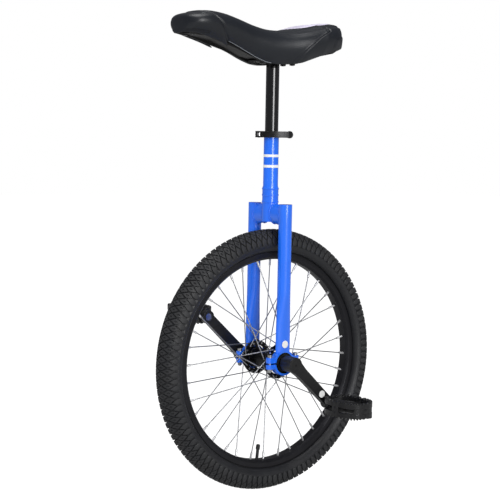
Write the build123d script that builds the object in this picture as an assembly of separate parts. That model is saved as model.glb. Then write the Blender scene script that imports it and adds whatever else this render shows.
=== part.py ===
from build123d import *
import os
from math import cos, sin, radians, sqrt

# Unicycle, in millimetres. +X is forward, +Y is the rider's left, +Z is up.
# The origin is the point of the tyre that stands on the ground.

os.makedirs("parts", exist_ok=True)

# ---------------------------------------------------------------- driving sizes
# Wheel: 20 inch rim, 406 mm bead seat, two inch tyre
BEAD_SEAT_RADIUS = 203.0
TYRE_HEIGHT = 50.0
TYRE_HALF_WIDTH = 25.5
TYRE_WALL = 3.2
TREAD_THICKNESS = 4.5
RIM_HALF_WIDTH = 14.0
RIM_WALL = 2.0
RIM_FLANGE_HEIGHT = 6.5
RIM_WELL_DEPTH = 6.0
RIM_WELL_HALF_WIDTH = 7.0
TUBE_SECTION_RADIUS = 18.0
TUBE_WALL = 1.0
TAPE_THICKNESS = 0.8
SPOKE_COUNT = 36
SPOKE_RADIUS = 1.0
SPOKE_CROSSES = 3
SPOKE_PHASE = 1.1
SPOKE_STAND_OFF = 1.8
SPOKE_HEAD_THICKNESS = 1.3
NIPPLE_RADIUS = 2.1
NIPPLE_LENGTH = 13.0
NIPPLE_HEAD_RADIUS = 3.2
NIPPLE_HEAD_THICKNESS = 2.0
NIPPLE_SEAT = 1.0
RIM_HOLE_OFFSET = 1.5
VALVE_RADIUS = 3.0
VALVE_REACH = 27.0
VALVE_CAP_RADIUS = 4.0
VALVE_CAP_LENGTH = 10.0

# Hub, axle and bearings
HUB_SHELL_RADIUS = 17.0
HUB_SHELL_WALL = 4.0
FLANGE_RADIUS = 32.5
FLANGE_THICKNESS = 3.0
FLANGE_FACE_Y = 35.0
SPOKE_CIRCLE_RADIUS = 28.5
FLANGE_WINDOWS = 6
WINDOW_RADIAL = 4.6
BEARING_OD = 40.0
BEARING_BORE = 17.0
BEARING_WIDTH = 12.0
BALL_RADIUS = 3.3
BALL_COUNT = 8
AXLE_SHOULDER_RADIUS = 10.5
TAPER_BIG = 14.3
TAPER_LENGTH = 22.0
TAPER_ANGLE = 2.0

# Frame
SEAT_TUBE_OD = 28.6
SEAT_TUBE_LENGTH = 171.0
SEAT_TUBE_FLARE = 1.2
SEAT_TUBE_FLARE_LENGTH = 64.0
CROWN_GAP = 14.0
LEG_OD = 25.4
LEG_WALL = 1.6
LEG_Y = 47.0
LEG_TOP_RISE = 35.0
LEG_CAP_THICKNESS = 2.0
LEG_FLAT_WIDTH = 33.0
LEG_FLAT_THICKNESS = 14.0
LEG_ROUND_END = 147.0
LEG_FLAT_START = 57.0
STUB_HEIGHT = 38.0
STUB_DROP = 6.0
STUB_WIDTH = 22.0
STUB_WALL = 2.0
HOLDER_WALL = 4.0
HOLDER_WIDTH = 14.0
HOLDER_GAP = 3.0
EAR_REACH = 38.0
EAR_WIDTH = 12.0
UPPER_EAR = 10.5
LOWER_EAR = 8.5
EAR_BOLT_X = 30.5
EAR_BOLT_RADIUS = 2.5

# Cranks and pedals
CRANK_LENGTH = 117.0
CRANK_ANGLE = -137.4
CRANK_BOSS_RADIUS = 15.0
CRANK_BOSS_LENGTH = 29.5
CRANK_ARM_WIDTH = 19.0
CRANK_ARM_THICKNESS = 13.0
CRANK_EYE_RADIUS = 12.5
BOSS_STAND_OFF = 4.5
CRANK_BOLT_RADIUS = 4.0
PEDAL_THREAD_RADIUS = 7.1
PEDAL_SPINDLE_RADIUS = 5.0
PEDAL_LENGTH = 98.0
PEDAL_WIDTH = 68.0
PEDAL_HEIGHT = 27.0
PEDAL_CORNER = 22.0
PEDAL_PLATE = 6.0
PEDAL_BARREL_RADIUS = 11.0
PEDAL_TOOTH_HEIGHT = 3.2
PEDAL_TOOTH = 4.6
PEDAL_END_PITCH = 11.0
PEDAL_WINDOW = 8.0
PEDAL_STRUT = 10.0
PEDAL_CAP_DEPTH = 13.0
BUSHING_WALL = 1.5
BUSHING_LENGTH = 14.0
PEDAL_GAP = 5.0

# Seat post, clamp and saddle
POST_OD = 25.4
POST_WALL = 2.2
POST_CLOSED_END = 4.0
POST_INSERTION = 91.0
POST_EXPOSED = 131.0
CLAMP_HEIGHT = 12.0
CLAMP_WALL = 3.0
CLAMP_ANGLE = -37.6
CLAMP_EAR_REACH = 31.0
CLAMP_EAR_HALF = 8.5
CLAMP_SLIT = 4.0
SKEWER_DISTANCE = 24.0
SKEWER_RADIUS = 2.5
CAM_RADIUS = 7.0
CAM_DISTANCE = 18.0
LEVER_THICKNESS = 4.0
LEVER_REACH = 37.0
PLATE_LENGTH = 96.0
PLATE_WIDTH = 44.0
PLATE_THICKNESS = 3.0
PLATE_CORNER = 10.0
SADDLE_BOLT_X = 36.0
SADDLE_BOLT_Y = 14.0
SADDLE_BOLT_RADIUS = 3.0
SADDLE_BOLT_END = 4.2
SADDLE_HEAD = 2.0
SADDLE_HEAD_RADIUS = 7.0
SADDLE_WASHER_RADIUS = 6.2
SADDLE_WASHER = 0.8
SADDLE_NUT = 2.8
SADDLE_NUT_FLATS = 10.0
BUMPER_SCREW_RADIUS = 2.0
BUMPER_SCREW_INSET = 17.0
BUMPER_BOSS_GAP = 2.0
BUMPER_BORE_DEPTH = 12.0
REAR_BAND_TOP = 47.0
REAR_BAND_FRONT = -96.0
HEM_CUT = 8.0
BASE_GAP = 2.4
BOSS_RADIUS = 4.5
SADDLE_FLOOR = 4.0
SADDLE_RIB = 3.0
COVER_THICKNESS = 1.6
BUMPER_WALL = 3.0
STICKER_RADIUS = 7.0
STICKER_THICKNESS = 0.3
LEG_STICKER_RISE = 36.0
CRANK_STICKER_REACH = 90.0

# Clearances
PRESS = 0.02
RUNNING = 0.05
SLIP = 0.3
LOOSE = 0.25

# ---------------------------------------------------------------- derived sizes
TYRE_RADIUS = BEAD_SEAT_RADIUS + TYRE_HEIGHT
AXLE_Z = TYRE_RADIUS
RIM_FLANGE_RADIUS = BEAD_SEAT_RADIUS + RIM_FLANGE_HEIGHT
RIM_WELL_RADIUS = BEAD_SEAT_RADIUS - RIM_WELL_DEPTH
RIM_BED_RADIUS = RIM_WELL_RADIUS - RIM_WALL
SEAT_TUBE_BOTTOM = 2 * TYRE_RADIUS + CROWN_GAP
SEAT_TUBE_TOP = SEAT_TUBE_BOTTOM + SEAT_TUBE_LENGTH
SEAT_TUBE_BORE = POST_OD / 2 + 2 * RUNNING
LEG_TOP = SEAT_TUBE_BOTTOM + LEG_TOP_RISE
BEARING_RADIUS = BEARING_OD / 2
HOLDER_RADIUS = BEARING_RADIUS + PRESS + HOLDER_WALL
BALL_CIRCLE = (BEARING_OD + BEARING_BORE) / 4
AXLE_RADIUS = BEARING_BORE / 2 - PRESS
HOUSING_FACE = LEG_Y + HOLDER_WIDTH / 2
BOSS_FACE = HOUSING_FACE + BOSS_STAND_OFF
CRANK_FACE = BOSS_FACE + CRANK_BOSS_LENGTH
ARM_FACE = CRANK_FACE - CRANK_ARM_THICKNESS
TAPER_END = BOSS_FACE + TAPER_LENGTH - 1.5
PEDAL_START = CRANK_FACE + PEDAL_GAP
PEDAL_CAP_BORE = PEDAL_BARREL_RADIUS - 2.2
BUSHING_OUTSIDE = PEDAL_SPINDLE_RADIUS + RUNNING + BUSHING_WALL
CLAMP_TOP = SEAT_TUBE_TOP + 1.5
CLAMP_BOTTOM = CLAMP_TOP - CLAMP_HEIGHT
CLAMP_MIDDLE = CLAMP_TOP - CLAMP_HEIGHT / 2
POST_BOTTOM = SEAT_TUBE_TOP - POST_INSERTION
POST_TOP = SEAT_TUBE_TOP + POST_EXPOSED
PLATE_TOP = POST_TOP + PLATE_THICKNESS
FLOOR_TOP = PLATE_TOP + SADDLE_FLOOR
AXLE = Axis((0, 0, AXLE_Z), (0, 1, 0))
SIDES = {"left": 1, "right": -1}


# ---------------------------------------------------------------- helpers
def save(node, shape):
    """Write one node's STEP file."""
    export_step(shape, f"parts/{node}.step")


def rod(radius, start, end):
    """A cylinder between two points."""
    origin = Vector(*start)
    along = Vector(*end) - origin
    body = Cylinder(radius, along.length, align=(Align.CENTER, Align.CENTER, Align.MIN))
    return Plane(origin=origin, z_dir=along) * body


def drum(radius, y_low, y_high, x=0.0, z=AXLE_Z):
    """A cylinder along Y."""
    return rod(radius, (x, y_low, z), (x, y_high, z))


def post(radius, z_low, z_high, x=0.0, y=0.0):
    """A cylinder along Z."""
    return rod(radius, (x, y, z_low), (x, y, z_high))


def block(low, high):
    """A box between two corners."""
    size = [b - a for a, b in zip(low, high)]
    middle = [(a + b) / 2 for a, b in zip(low, high)]
    return Pos(*middle) * Box(*size)


def hexagon(across_flats, z_low, z_high, x, y):
    """A hexagonal prism along Z."""
    face = Plane(origin=(x, y, z_low)) * RegularPolygon(across_flats / sqrt(3), 6)
    return extrude(face, z_high - z_low)


def wheel_ring(outline):
    """Turn a closed (y, radius) outline around the axle."""
    section = Plane(origin=(0, 0, AXLE_Z), x_dir=(0, 1, 0), z_dir=(1, 0, 0)) * outline
    return revolve(section, AXLE, 360)


def on_wheel(radius, angle, y):
    """The point at this radius and angle about the axle."""
    return (radius * cos(radians(angle)), y, AXLE_Z + radius * sin(radians(angle)))


def mirrored(shape):
    """The same shape on the other side of the XZ plane."""
    return mirror(shape, about=Plane.XZ)


def sided(shape, side):
    """The left shape, or its mirror image on the right."""
    return shape if side > 0 else mirrored(shape)


# ---------------------------------------------------------------- tyre, tube and rim
def tyre():
    """A carcass from bead to bead, with a thicker crown."""
    centre = TYRE_RADIUS - TYRE_HALF_WIDTH
    bead_out = RIM_HALF_WIDTH - RIM_WALL - LOOSE
    bead_in = bead_out - TYRE_WALL
    low = BEAD_SEAT_RADIUS + LOOSE
    over = RIM_FLANGE_RADIUS + 2 * SLIP
    inner_half = TYRE_HALF_WIDTH - TYRE_WALL
    crown = TYRE_RADIUS - TREAD_THICKNESS
    reach = TYRE_HALF_WIDTH - bead_out
    drop = centre - over
    outer_mid = (bead_out + 0.62 * reach, over + 0.24 * drop)
    inner_mid = (bead_in + 0.62 * (inner_half - bead_in), over + TYRE_WALL + 0.2 * drop)
    outer = Polyline((bead_in, low), (bead_out, low), (bead_out, over))
    outer += ThreePointArc((bead_out, over), outer_mid, (TYRE_HALF_WIDTH, centre))
    outer += ThreePointArc((TYRE_HALF_WIDTH, centre), (0, TYRE_RADIUS), (-TYRE_HALF_WIDTH, centre))
    outer += ThreePointArc((-TYRE_HALF_WIDTH, centre), (-outer_mid[0], outer_mid[1]), (-bead_out, over))
    outer += Polyline((-bead_out, over), (-bead_out, low), (-bead_in, low), (-bead_in, over))
    outer += ThreePointArc((-bead_in, over), (-inner_mid[0], inner_mid[1]), (-inner_half, centre))
    outer += ThreePointArc((-inner_half, centre), (0, crown), (inner_half, centre))
    outer += ThreePointArc((inner_half, centre), inner_mid, (bead_in, over))
    outer += Line((bead_in, over), (bead_in, low))
    return wheel_ring(make_face(outer))


def tube_centre():
    """Radius of the inner tube's own circle."""
    return TYRE_RADIUS - TREAD_THICKNESS - SLIP - TUBE_SECTION_RADIUS


def inner_tube():
    """A thin inflated ring with a hole where the valve is bonded in."""
    middle = Pos(0, tube_centre())
    section = middle * Circle(TUBE_SECTION_RADIUS) - middle * Circle(TUBE_SECTION_RADIUS - TUBE_WALL)
    return wheel_ring(section) - valve_rod(VALVE_RADIUS * 1.6 + RUNNING, RIM_WELL_RADIUS, tube_centre())


def rim():
    """A single-wall rim with hooked flanges, a centre well and drilled bed."""
    half = RIM_HALF_WIDTH
    inside = half - RIM_WALL
    bed = RIM_WELL_HALF_WIDTH + RIM_WALL
    shoulder = RIM_BED_RADIUS + half - bed
    seat = RIM_WELL_HALF_WIDTH + RIM_WALL
    right = [
        (half, RIM_FLANGE_RADIUS), (half, shoulder), (bed, RIM_BED_RADIUS),
    ]
    channel = [
        (RIM_WELL_HALF_WIDTH, RIM_WELL_RADIUS), (seat, BEAD_SEAT_RADIUS),
        (inside, BEAD_SEAT_RADIUS), (inside, RIM_FLANGE_RADIUS),
    ]
    points = right + [(-y, r) for y, r in reversed(right)]
    points += [(-y, r) for y, r in reversed(channel)] + channel
    body = wheel_ring(make_face(Polyline(*points, close=True)))
    drilled = nipple_lines(RIM_BED_RADIUS - 2 * RIM_WALL, RIM_WELL_DEPTH + 3 * RIM_WALL)
    holes = [rod(NIPPLE_RADIUS + LOOSE, at, past) for at, past in drilled]
    body -= holes
    return body - valve_rod(VALVE_RADIUS + LOOSE, RIM_BED_RADIUS - 2, RIM_WELL_RADIUS + 2)


def rim_tape():
    """A strip over the nipple heads that keeps them off the tube."""
    low = RIM_WELL_RADIUS + NIPPLE_SEAT + NIPPLE_HEAD_THICKNESS + 0.3 * NIPPLE_HEAD_RADIUS
    strip = Pos(0, low + TAPE_THICKNESS / 2) * Rectangle(2 * RIM_WELL_HALF_WIDTH, TAPE_THICKNESS)
    return wheel_ring(strip) - valve_rod(VALVE_RADIUS + LOOSE, low - 2, low + 3)


VALVE_ANGLE = SPOKE_PHASE - 360 / SPOKE_COUNT * 8.5


def valve_rod(radius, r_low, r_high):
    """A cylinder on the valve's radial line."""
    return rod(radius, on_wheel(r_low, VALVE_ANGLE, 0), on_wheel(r_high, VALVE_ANGLE, 0))


def valve_stem():
    """A stem bonded into the tube wall, with a foot inside it."""
    foot_r = tube_centre() - TUBE_SECTION_RADIUS + TUBE_WALL
    tip = RIM_BED_RADIUS - VALVE_REACH
    stem = valve_rod(VALVE_RADIUS, tip, foot_r + 2)
    foot = valve_rod(VALVE_RADIUS * 1.6, foot_r - TUBE_WALL, foot_r + 1)
    return stem + foot


def valve_cap():
    """A closed cap over the end of the stem."""
    tip = RIM_BED_RADIUS - VALVE_REACH
    outer = valve_rod(VALVE_CAP_RADIUS, tip - 2, tip - 2 + VALVE_CAP_LENGTH)
    return outer - valve_rod(VALVE_RADIUS + PRESS, tip, tip + VALVE_CAP_LENGTH)


# ---------------------------------------------------------------- spokes and hub
def spoke_layout():
    """For each spoke: side, running outside the flange or not, rim angle and flange angle."""
    step = 360 / SPOKE_COUNT
    layout = []
    for index in range(SPOKE_COUNT):
        side = 1 if index % 2 == 0 else -1
        outside = (index // 2) % 2 == 0
        rim_angle = SPOKE_PHASE + step * index
        swing = SPOKE_CROSSES * 2 * step * (1 if outside else -1)
        layout.append((side, outside, rim_angle, rim_angle + swing))
    return layout


def elbow_y(side, outside):
    """Where a spoke's bend stands, clear of the flange's edge outside it."""
    if outside:
        return side * (FLANGE_FACE_Y + SPOKE_RADIUS + SPOKE_STAND_OFF)
    return side * (FLANGE_FACE_Y - FLANGE_THICKNESS - SPOKE_RADIUS - RUNNING)


def spoke_ends():
    """Each spoke's bend at the flange and its end at the rim bed."""
    ends = []
    for side, outside, rim_angle, hub_angle in spoke_layout():
        bend = on_wheel(SPOKE_CIRCLE_RADIUS, hub_angle, elbow_y(side, outside))
        end = on_wheel(RIM_BED_RADIUS, rim_angle, side * RIM_HOLE_OFFSET)
        ends.append((Vector(*bend), Vector(*end)))
    return ends


def nipple_lines(start_radius, length):
    """Start and end of a short line along each spoke, near the rim."""
    lines = []
    for bend, end in spoke_ends():
        along = (end - bend).normalized()
        start = end + along * (start_radius - RIM_BED_RADIUS)
        lines.append((start, start + along * length))
    return lines


def spokes():
    """Bent spokes: straight length, elbow through the flange, and head."""
    pieces = []
    inner_face = FLANGE_FACE_Y - FLANGE_THICKNESS
    for (bend, end), (side, outside, _, _) in zip(spoke_ends(), spoke_layout()):
        head_y = inner_face - RUNNING if outside else FLANGE_FACE_Y + RUNNING
        head_out = head_y + SPOKE_HEAD_THICKNESS * (-1 if outside else 1)
        straight = rod(SPOKE_RADIUS, bend, end + (end - bend).normalized() * RIM_WALL)
        elbow = rod(SPOKE_RADIUS, bend, (bend.X, side * head_y, bend.Z))
        head = rod(SPOKE_RADIUS * 1.9, (bend.X, side * head_y, bend.Z), (bend.X, side * head_out, bend.Z))
        corner = Pos(bend.X, bend.Y, bend.Z) * Sphere(SPOKE_RADIUS)
        pieces.append(straight + elbow + head + corner)
    return Compound(children=pieces)


def spoke_nipples():
    """Nipples on the spokes' own lines, with their heads in the rim well."""
    pieces = []
    for start, end in nipple_lines(RIM_BED_RADIUS - NIPPLE_LENGTH, NIPPLE_LENGTH + RIM_WALL + NIPPLE_SEAT):
        along = (end - start).normalized()
        head = rod(NIPPLE_HEAD_RADIUS, end, end + along * NIPPLE_HEAD_THICKNESS)
        bore = rod(SPOKE_RADIUS + PRESS, start - along, end + along * 9)
        pieces.append(rod(NIPPLE_RADIUS, start, end) + head - bore)
    return Compound(children=pieces)


def flange_window(index):
    """One arc-shaped opening between the shell and the spoke circle."""
    low = HUB_SHELL_RADIUS + 2
    middle = low + WINDOW_RADIAL / 2
    span = 360 / FLANGE_WINDOWS * 0.64
    begin = index * 360 / FLANGE_WINDOWS
    arc = CenterArc((0, 0), middle, begin - span / 2, span)
    slot = SlotArc(arc, WINDOW_RADIAL)
    plane = Plane(origin=(0, FLANGE_FACE_Y + 1, AXLE_Z), x_dir=(1, 0, 0), z_dir=(0, -1, 0))
    return extrude(plane * slot, 2 * FLANGE_FACE_Y + 2)


def hub_shell():
    """A tube with two drilled and windowed flanges."""
    body = drum(HUB_SHELL_RADIUS, -FLANGE_FACE_Y, FLANGE_FACE_Y)
    bore = drum(HUB_SHELL_RADIUS - HUB_SHELL_WALL, -FLANGE_FACE_Y + 7, FLANGE_FACE_Y - 7)
    for side in SIDES.values():
        face = side * FLANGE_FACE_Y
        back = side * (FLANGE_FACE_Y - FLANGE_THICKNESS)
        body += drum(FLANGE_RADIUS, min(face, back), max(face, back))
    shell_only = drum(HUB_SHELL_RADIUS + 0.5, -FLANGE_FACE_Y, FLANGE_FACE_Y)
    windows = [flange_window(index) - shell_only for index in range(FLANGE_WINDOWS)]
    holes = []
    for side, _, _, hub_angle in spoke_layout():
        near = on_wheel(SPOKE_CIRCLE_RADIUS, hub_angle, side * (FLANGE_FACE_Y - FLANGE_THICKNESS - 1))
        far = on_wheel(SPOKE_CIRCLE_RADIUS, hub_angle, side * (FLANGE_FACE_Y + 1))
        holes.append(rod(SPOKE_RADIUS + LOOSE, near, far))
    shaft = drum(AXLE_RADIUS + PRESS, -FLANGE_FACE_Y - 1, FLANGE_FACE_Y + 1)
    return body - bore - shaft - windows - holes


def square_end(reduce=0.0, start=None, end=None):
    """The tapered square of the left axle end, grown or shrunk all round."""
    start = HOUSING_FACE if start is None else start
    end = TAPER_END if end is None else end
    faces = []
    for y in (start, end):
        side = TAPER_BIG - 2 * reduce - 2 * (y - HOUSING_FACE) * sin(radians(TAPER_ANGLE))
        faces.append(crank_plane(y) * Rectangle(side, side))
    return loft(faces, ruled=True)


def axle():
    """Steel axle: bearing seats, shoulders and tapered square ends."""
    shoulder = LEG_Y - BEARING_WIDTH / 2
    body = drum(AXLE_RADIUS, -HOUSING_FACE, HOUSING_FACE)
    for side in SIDES.values():
        edges = sorted((side * (FLANGE_FACE_Y + PRESS), side * (shoulder - PRESS)))
        body += drum(AXLE_SHOULDER_RADIUS, *edges)
        body += sided(square_end(), side)
        thread = sorted((side * (TAPER_END - 18), side * (TAPER_END + 1)))
        body -= drum(CRANK_BOLT_RADIUS + PRESS, *thread)
    return body


def bearing_ring(outer, inner, y_low, y_high):
    """A plain ring around the axle."""
    return drum(outer, y_low, y_high) - drum(inner, y_low - 1, y_high + 1)


def race_groove(side, radius):
    """The torus that the balls run in."""
    ring = Torus(BALL_CIRCLE, radius)
    return Pos(0, side * LEG_Y, AXLE_Z) * Rot(90, 0, 0) * ring


def bearing_outer_races():
    """Outer rings, held in the frame."""
    rings = []
    for side in SIDES.values():
        low, high = sorted((side * (LEG_Y - BEARING_WIDTH / 2), side * (LEG_Y + BEARING_WIDTH / 2)))
        ring = bearing_ring(BEARING_RADIUS, BALL_CIRCLE + BALL_RADIUS * 0.6, low, high)
        rings.append(ring - race_groove(side, BALL_RADIUS + SLIP))
    return Compound(children=rings)


def bearing_inner_races():
    """Inner rings, pressed on the axle."""
    rings = []
    for side in SIDES.values():
        low, high = sorted((side * (LEG_Y - BEARING_WIDTH / 2), side * (LEG_Y + BEARING_WIDTH / 2)))
        ring = bearing_ring(BALL_CIRCLE - BALL_RADIUS * 0.6, BEARING_BORE / 2, low, high)
        rings.append(ring - race_groove(side, BALL_RADIUS + RUNNING))
    return Compound(children=rings)


def bearing_balls():
    """The balls of both bearings."""
    balls = []
    for side in SIDES.values():
        for index in range(BALL_COUNT):
            at = on_wheel(BALL_CIRCLE, 360 / BALL_COUNT * index, side * LEG_Y)
            balls.append(Pos(*at) * Sphere(BALL_RADIUS))
    return Compound(children=balls)


def bearing_shields():
    """Thin seals set in the outer rings on both faces of each bearing."""
    shields = []
    for side in SIDES.values():
        for face in (-1, 1):
            outer_y = side * (LEG_Y + face * (BEARING_WIDTH / 2 - 0.3))
            inner_y = side * (LEG_Y + face * (BEARING_WIDTH / 2 - 1.1))
            low, high = sorted((outer_y, inner_y))
            inner = BALL_CIRCLE - BALL_RADIUS * 0.6 + SLIP
            shields.append(bearing_ring(BALL_CIRCLE + BALL_RADIUS * 0.6 - PRESS, inner, low, high))
    return Compound(children=shields)


# ---------------------------------------------------------------- cranks
def crank_plane(y):
    """A plane on the left crank's own line, facing out."""
    along = (cos(radians(CRANK_ANGLE)), 0, sin(radians(CRANK_ANGLE)))
    return Plane(origin=(0, y, AXLE_Z), x_dir=along, z_dir=(0, 1, 0))


def opposite(shape):
    """The right crank's place: mirrored and turned half a turn."""
    return mirrored(shape).rotate(AXLE, 180)


def crank():
    """The left arm: round boss, tapering arm and pedal eye."""
    boss = drum(CRANK_BOSS_RADIUS, BOSS_FACE, CRANK_FACE)
    neck = CRANK_BOSS_RADIUS - 1.5
    half = CRANK_ARM_WIDTH / 2
    flank = [(0, neck), (CRANK_BOSS_RADIUS * 1.6, half + 1), (CRANK_LENGTH, half)]
    outline = Polyline(*flank, *[(x, -y) for x, y in reversed(flank)], close=True)
    arm = extrude(crank_plane(ARM_FACE) * make_face(outline), CRANK_ARM_THICKNESS)
    round_end = crank_plane(ARM_FACE) * (Pos(CRANK_LENGTH, 0) * Circle(CRANK_EYE_RADIUS))
    eye = extrude(round_end, CRANK_ARM_THICKNESS)
    body = boss + arm + eye
    body -= square_end(reduce=-PRESS, start=BOSS_FACE - 1, end=TAPER_END + 1)
    body -= drum(CRANK_BOLT_RADIUS + LOOSE, TAPER_END, CRANK_FACE)
    body -= drum(CRANK_BOSS_RADIUS - 4, TAPER_END + 2.5, CRANK_FACE + 1)
    hole = Pos(CRANK_LENGTH, 0) * Circle(PEDAL_THREAD_RADIUS + PRESS)
    return body - extrude(crank_plane(ARM_FACE - 1) * hole, CRANK_ARM_THICKNESS + 2)


def crank_bolt():
    """The left crank bolt, screwed in the axle's end."""
    seat = TAPER_END + 2.5
    shank = drum(CRANK_BOLT_RADIUS, TAPER_END - 16, seat)
    head = extrude(crank_plane(seat) * RegularPolygon(14 / sqrt(3), 6), 3.5)
    flange = drum(9.5, seat, seat + 1.2)
    return shank + head + flange


def dust_cap():
    """The left plastic cap over the crank bolt."""
    bore = CRANK_BOSS_RADIUS - 4 - PRESS
    cap = drum(bore, CRANK_FACE - 3, CRANK_FACE - 0.4)
    return cap - drum(2.2, CRANK_FACE - 1.6, CRANK_FACE)


# ---------------------------------------------------------------- pedals
def pedal_centre(side):
    """X and Z of a pedal's spindle."""
    x, _, z = on_wheel(CRANK_LENGTH, CRANK_ANGLE, 0)
    return (x, z) if side > 0 else (-x, 2 * AXLE_Z - z)


def at_pedal(shape, side):
    """Take a left pedal piece, made around the Y axis, to its side's crank end."""
    x, z = pedal_centre(side)
    return Pos(x, 0, z) * sided(shape, side)


def pedal_spindle():
    """Threaded end in the crank, flats, and a plain journal."""
    end = PEDAL_START + PEDAL_LENGTH - 12
    spindle = drum(PEDAL_THREAD_RADIUS, ARM_FACE + 1, CRANK_FACE + 1, 0, 0)
    spindle += drum(PEDAL_THREAD_RADIUS + 1.6, CRANK_FACE + PRESS, PEDAL_START - 1, 0, 0)
    spindle += drum(PEDAL_SPINDLE_RADIUS, PEDAL_START - 1, end, 0, 0)
    spindle += drum(CRANK_BOLT_RADIUS - 1, end, end + 7, 0, 0)
    flats = block((-20, CRANK_FACE + 0.8, PEDAL_THREAD_RADIUS), (20, PEDAL_START - 1.2, 20))
    return spindle - flats - Rot(0, 180, 0) * flats


def pedal_outline(inset):
    """The pedal seen from above, inset all round."""
    return RectangleRounded(PEDAL_WIDTH - 2 * inset, PEDAL_LENGTH - 2 * inset, PEDAL_CORNER - inset)


def pedal_slab(sketch, z_low, z_high):
    """A slab of the pedal between two heights."""
    middle = PEDAL_START + PEDAL_LENGTH / 2
    return extrude(Plane(origin=(0, middle, z_low)) * sketch, z_high - z_low)


def pedal_tooth(x, y, along_x, along_y, z_low):
    """One tooth of the cage, centred on x and y."""
    low = (x - along_x / 2, y - along_y / 2, z_low)
    return block(low, (x + along_x / 2, y + along_y / 2, z_low + PEDAL_TOOTH_HEIGHT))


def pedal_teeth(z_low):
    """Teeth along the two long edges of the cage, and three on each end."""
    teeth = []
    count = int((PEDAL_LENGTH - 2 * PEDAL_CORNER) // (2 * PEDAL_TOOTH))
    middle = PEDAL_START + PEDAL_LENGTH / 2
    edge_x = (PEDAL_WIDTH - PEDAL_PLATE) / 2
    edge_y = (PEDAL_LENGTH - PEDAL_PLATE) / 2
    for index in range(count + 1):
        y = middle + (index - count / 2) * 2 * PEDAL_TOOTH
        teeth += [pedal_tooth(sign * edge_x, y, PEDAL_PLATE, PEDAL_TOOTH, z_low) for sign in (-1, 1)]
    for index in (-1, 0, 1):
        x = index * PEDAL_END_PITCH
        teeth += [pedal_tooth(x, middle + sign * edge_y, PEDAL_TOOTH, PEDAL_PLATE, z_low) for sign in (-1, 1)]
    return teeth


def pedal_body():
    """The left pedal's plastic cage: rim, barrel, cross web and toothed edges."""
    half = PEDAL_HEIGHT / 2
    end = PEDAL_START + PEDAL_LENGTH
    body = pedal_slab(pedal_outline(0) - pedal_outline(PEDAL_PLATE), -half, half)
    body += drum(PEDAL_BARREL_RADIUS, PEDAL_START + 1, end - 1, 0, 0)
    body += pedal_slab(Rectangle(PEDAL_WIDTH - PEDAL_PLATE, PEDAL_PLATE), -half * 0.6, half * 0.6)
    for z_low in (half, -half - PEDAL_TOOTH_HEIGHT):
        body += pedal_teeth(z_low)
    tall = PEDAL_WINDOW / 2
    window = block((-PEDAL_WIDTH, PEDAL_START + PEDAL_CORNER, -tall), (PEDAL_WIDTH, end - PEDAL_CORNER, tall))
    barrel_side = PEDAL_BARREL_RADIUS + 2
    window -= block((-barrel_side, PEDAL_START, -tall), (barrel_side, end, tall))
    middle = PEDAL_START + PEDAL_LENGTH / 2
    low = (-PEDAL_WIDTH, middle - PEDAL_STRUT / 2, -tall)
    window -= block(low, (PEDAL_WIDTH, middle + PEDAL_STRUT / 2, tall))
    body -= window
    body -= drum(BUSHING_OUTSIDE + PRESS, PEDAL_START - 1, end - PEDAL_CAP_DEPTH + 4, 0, 0)
    return body - drum(PEDAL_CAP_BORE, end - PEDAL_CAP_DEPTH, end + 1, 0, 0)


def pedal_bushings():
    """Two plain bushings that the spindle turns in."""
    inner = PEDAL_SPINDLE_RADIUS + RUNNING
    last = PEDAL_START + PEDAL_LENGTH - PEDAL_CAP_DEPTH - 0.5 - BUSHING_LENGTH
    pieces = []
    for start in (PEDAL_START + 0.5, last):
        end = start + BUSHING_LENGTH
        pieces.append(drum(BUSHING_OUTSIDE, start, end, 0, 0) - drum(inner, start - 1, end + 1, 0, 0))
    return pieces


def pedal_locknut():
    """The nut that keeps the pedal on its spindle."""
    start = PEDAL_START + PEDAL_LENGTH - 12
    plane = Plane(origin=(0, start + 0.4, 0), x_dir=(1, 0, 0), z_dir=(0, 1, 0))
    nut = extrude(plane * RegularPolygon(11 / sqrt(3), 6), 4.5)
    return nut - drum(CRANK_BOLT_RADIUS - 1 + PRESS, start - 1, start + 9, 0, 0)


def pedal_end_cap():
    """A snap-in cap at the pedal's outer end."""
    end = PEDAL_START + PEDAL_LENGTH
    return drum(PEDAL_CAP_BORE - PRESS, end - 3.5, end - 1, 0, 0)


# ---------------------------------------------------------------- fork and seat tube
def seat_tube():
    """The seat tube: bored through, thicker at the crown, slit at the top."""
    radius = SEAT_TUBE_OD / 2
    flare_top = SEAT_TUBE_BOTTOM + SEAT_TUBE_FLARE_LENGTH
    body = post(radius, SEAT_TUBE_BOTTOM, SEAT_TUBE_TOP)
    body += post(radius + SEAT_TUBE_FLARE, SEAT_TUBE_BOTTOM, flare_top)
    taper = Cone(radius + SEAT_TUBE_FLARE, radius, 5, align=(Align.CENTER, Align.CENTER, Align.MIN))
    body += Pos(0, 0, flare_top) * taper
    body -= post(SEAT_TUBE_BORE, SEAT_TUBE_BOTTOM - 1, SEAT_TUBE_TOP + 1)
    slit_low = CLAMP_BOTTOM - 22
    body -= block((-radius * 2, -1.5, slit_low), (0, 1.5, SEAT_TUBE_TOP + 1))
    relief = rod(3, (-radius * 2, 0, slit_low), (0, 0, slit_low))
    return body - relief


def leg_section(z, half_x, half_y):
    """One cross-section of the left leg."""
    return Plane(origin=(0, LEG_Y, z)) * Ellipse(half_x, half_y)


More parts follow.
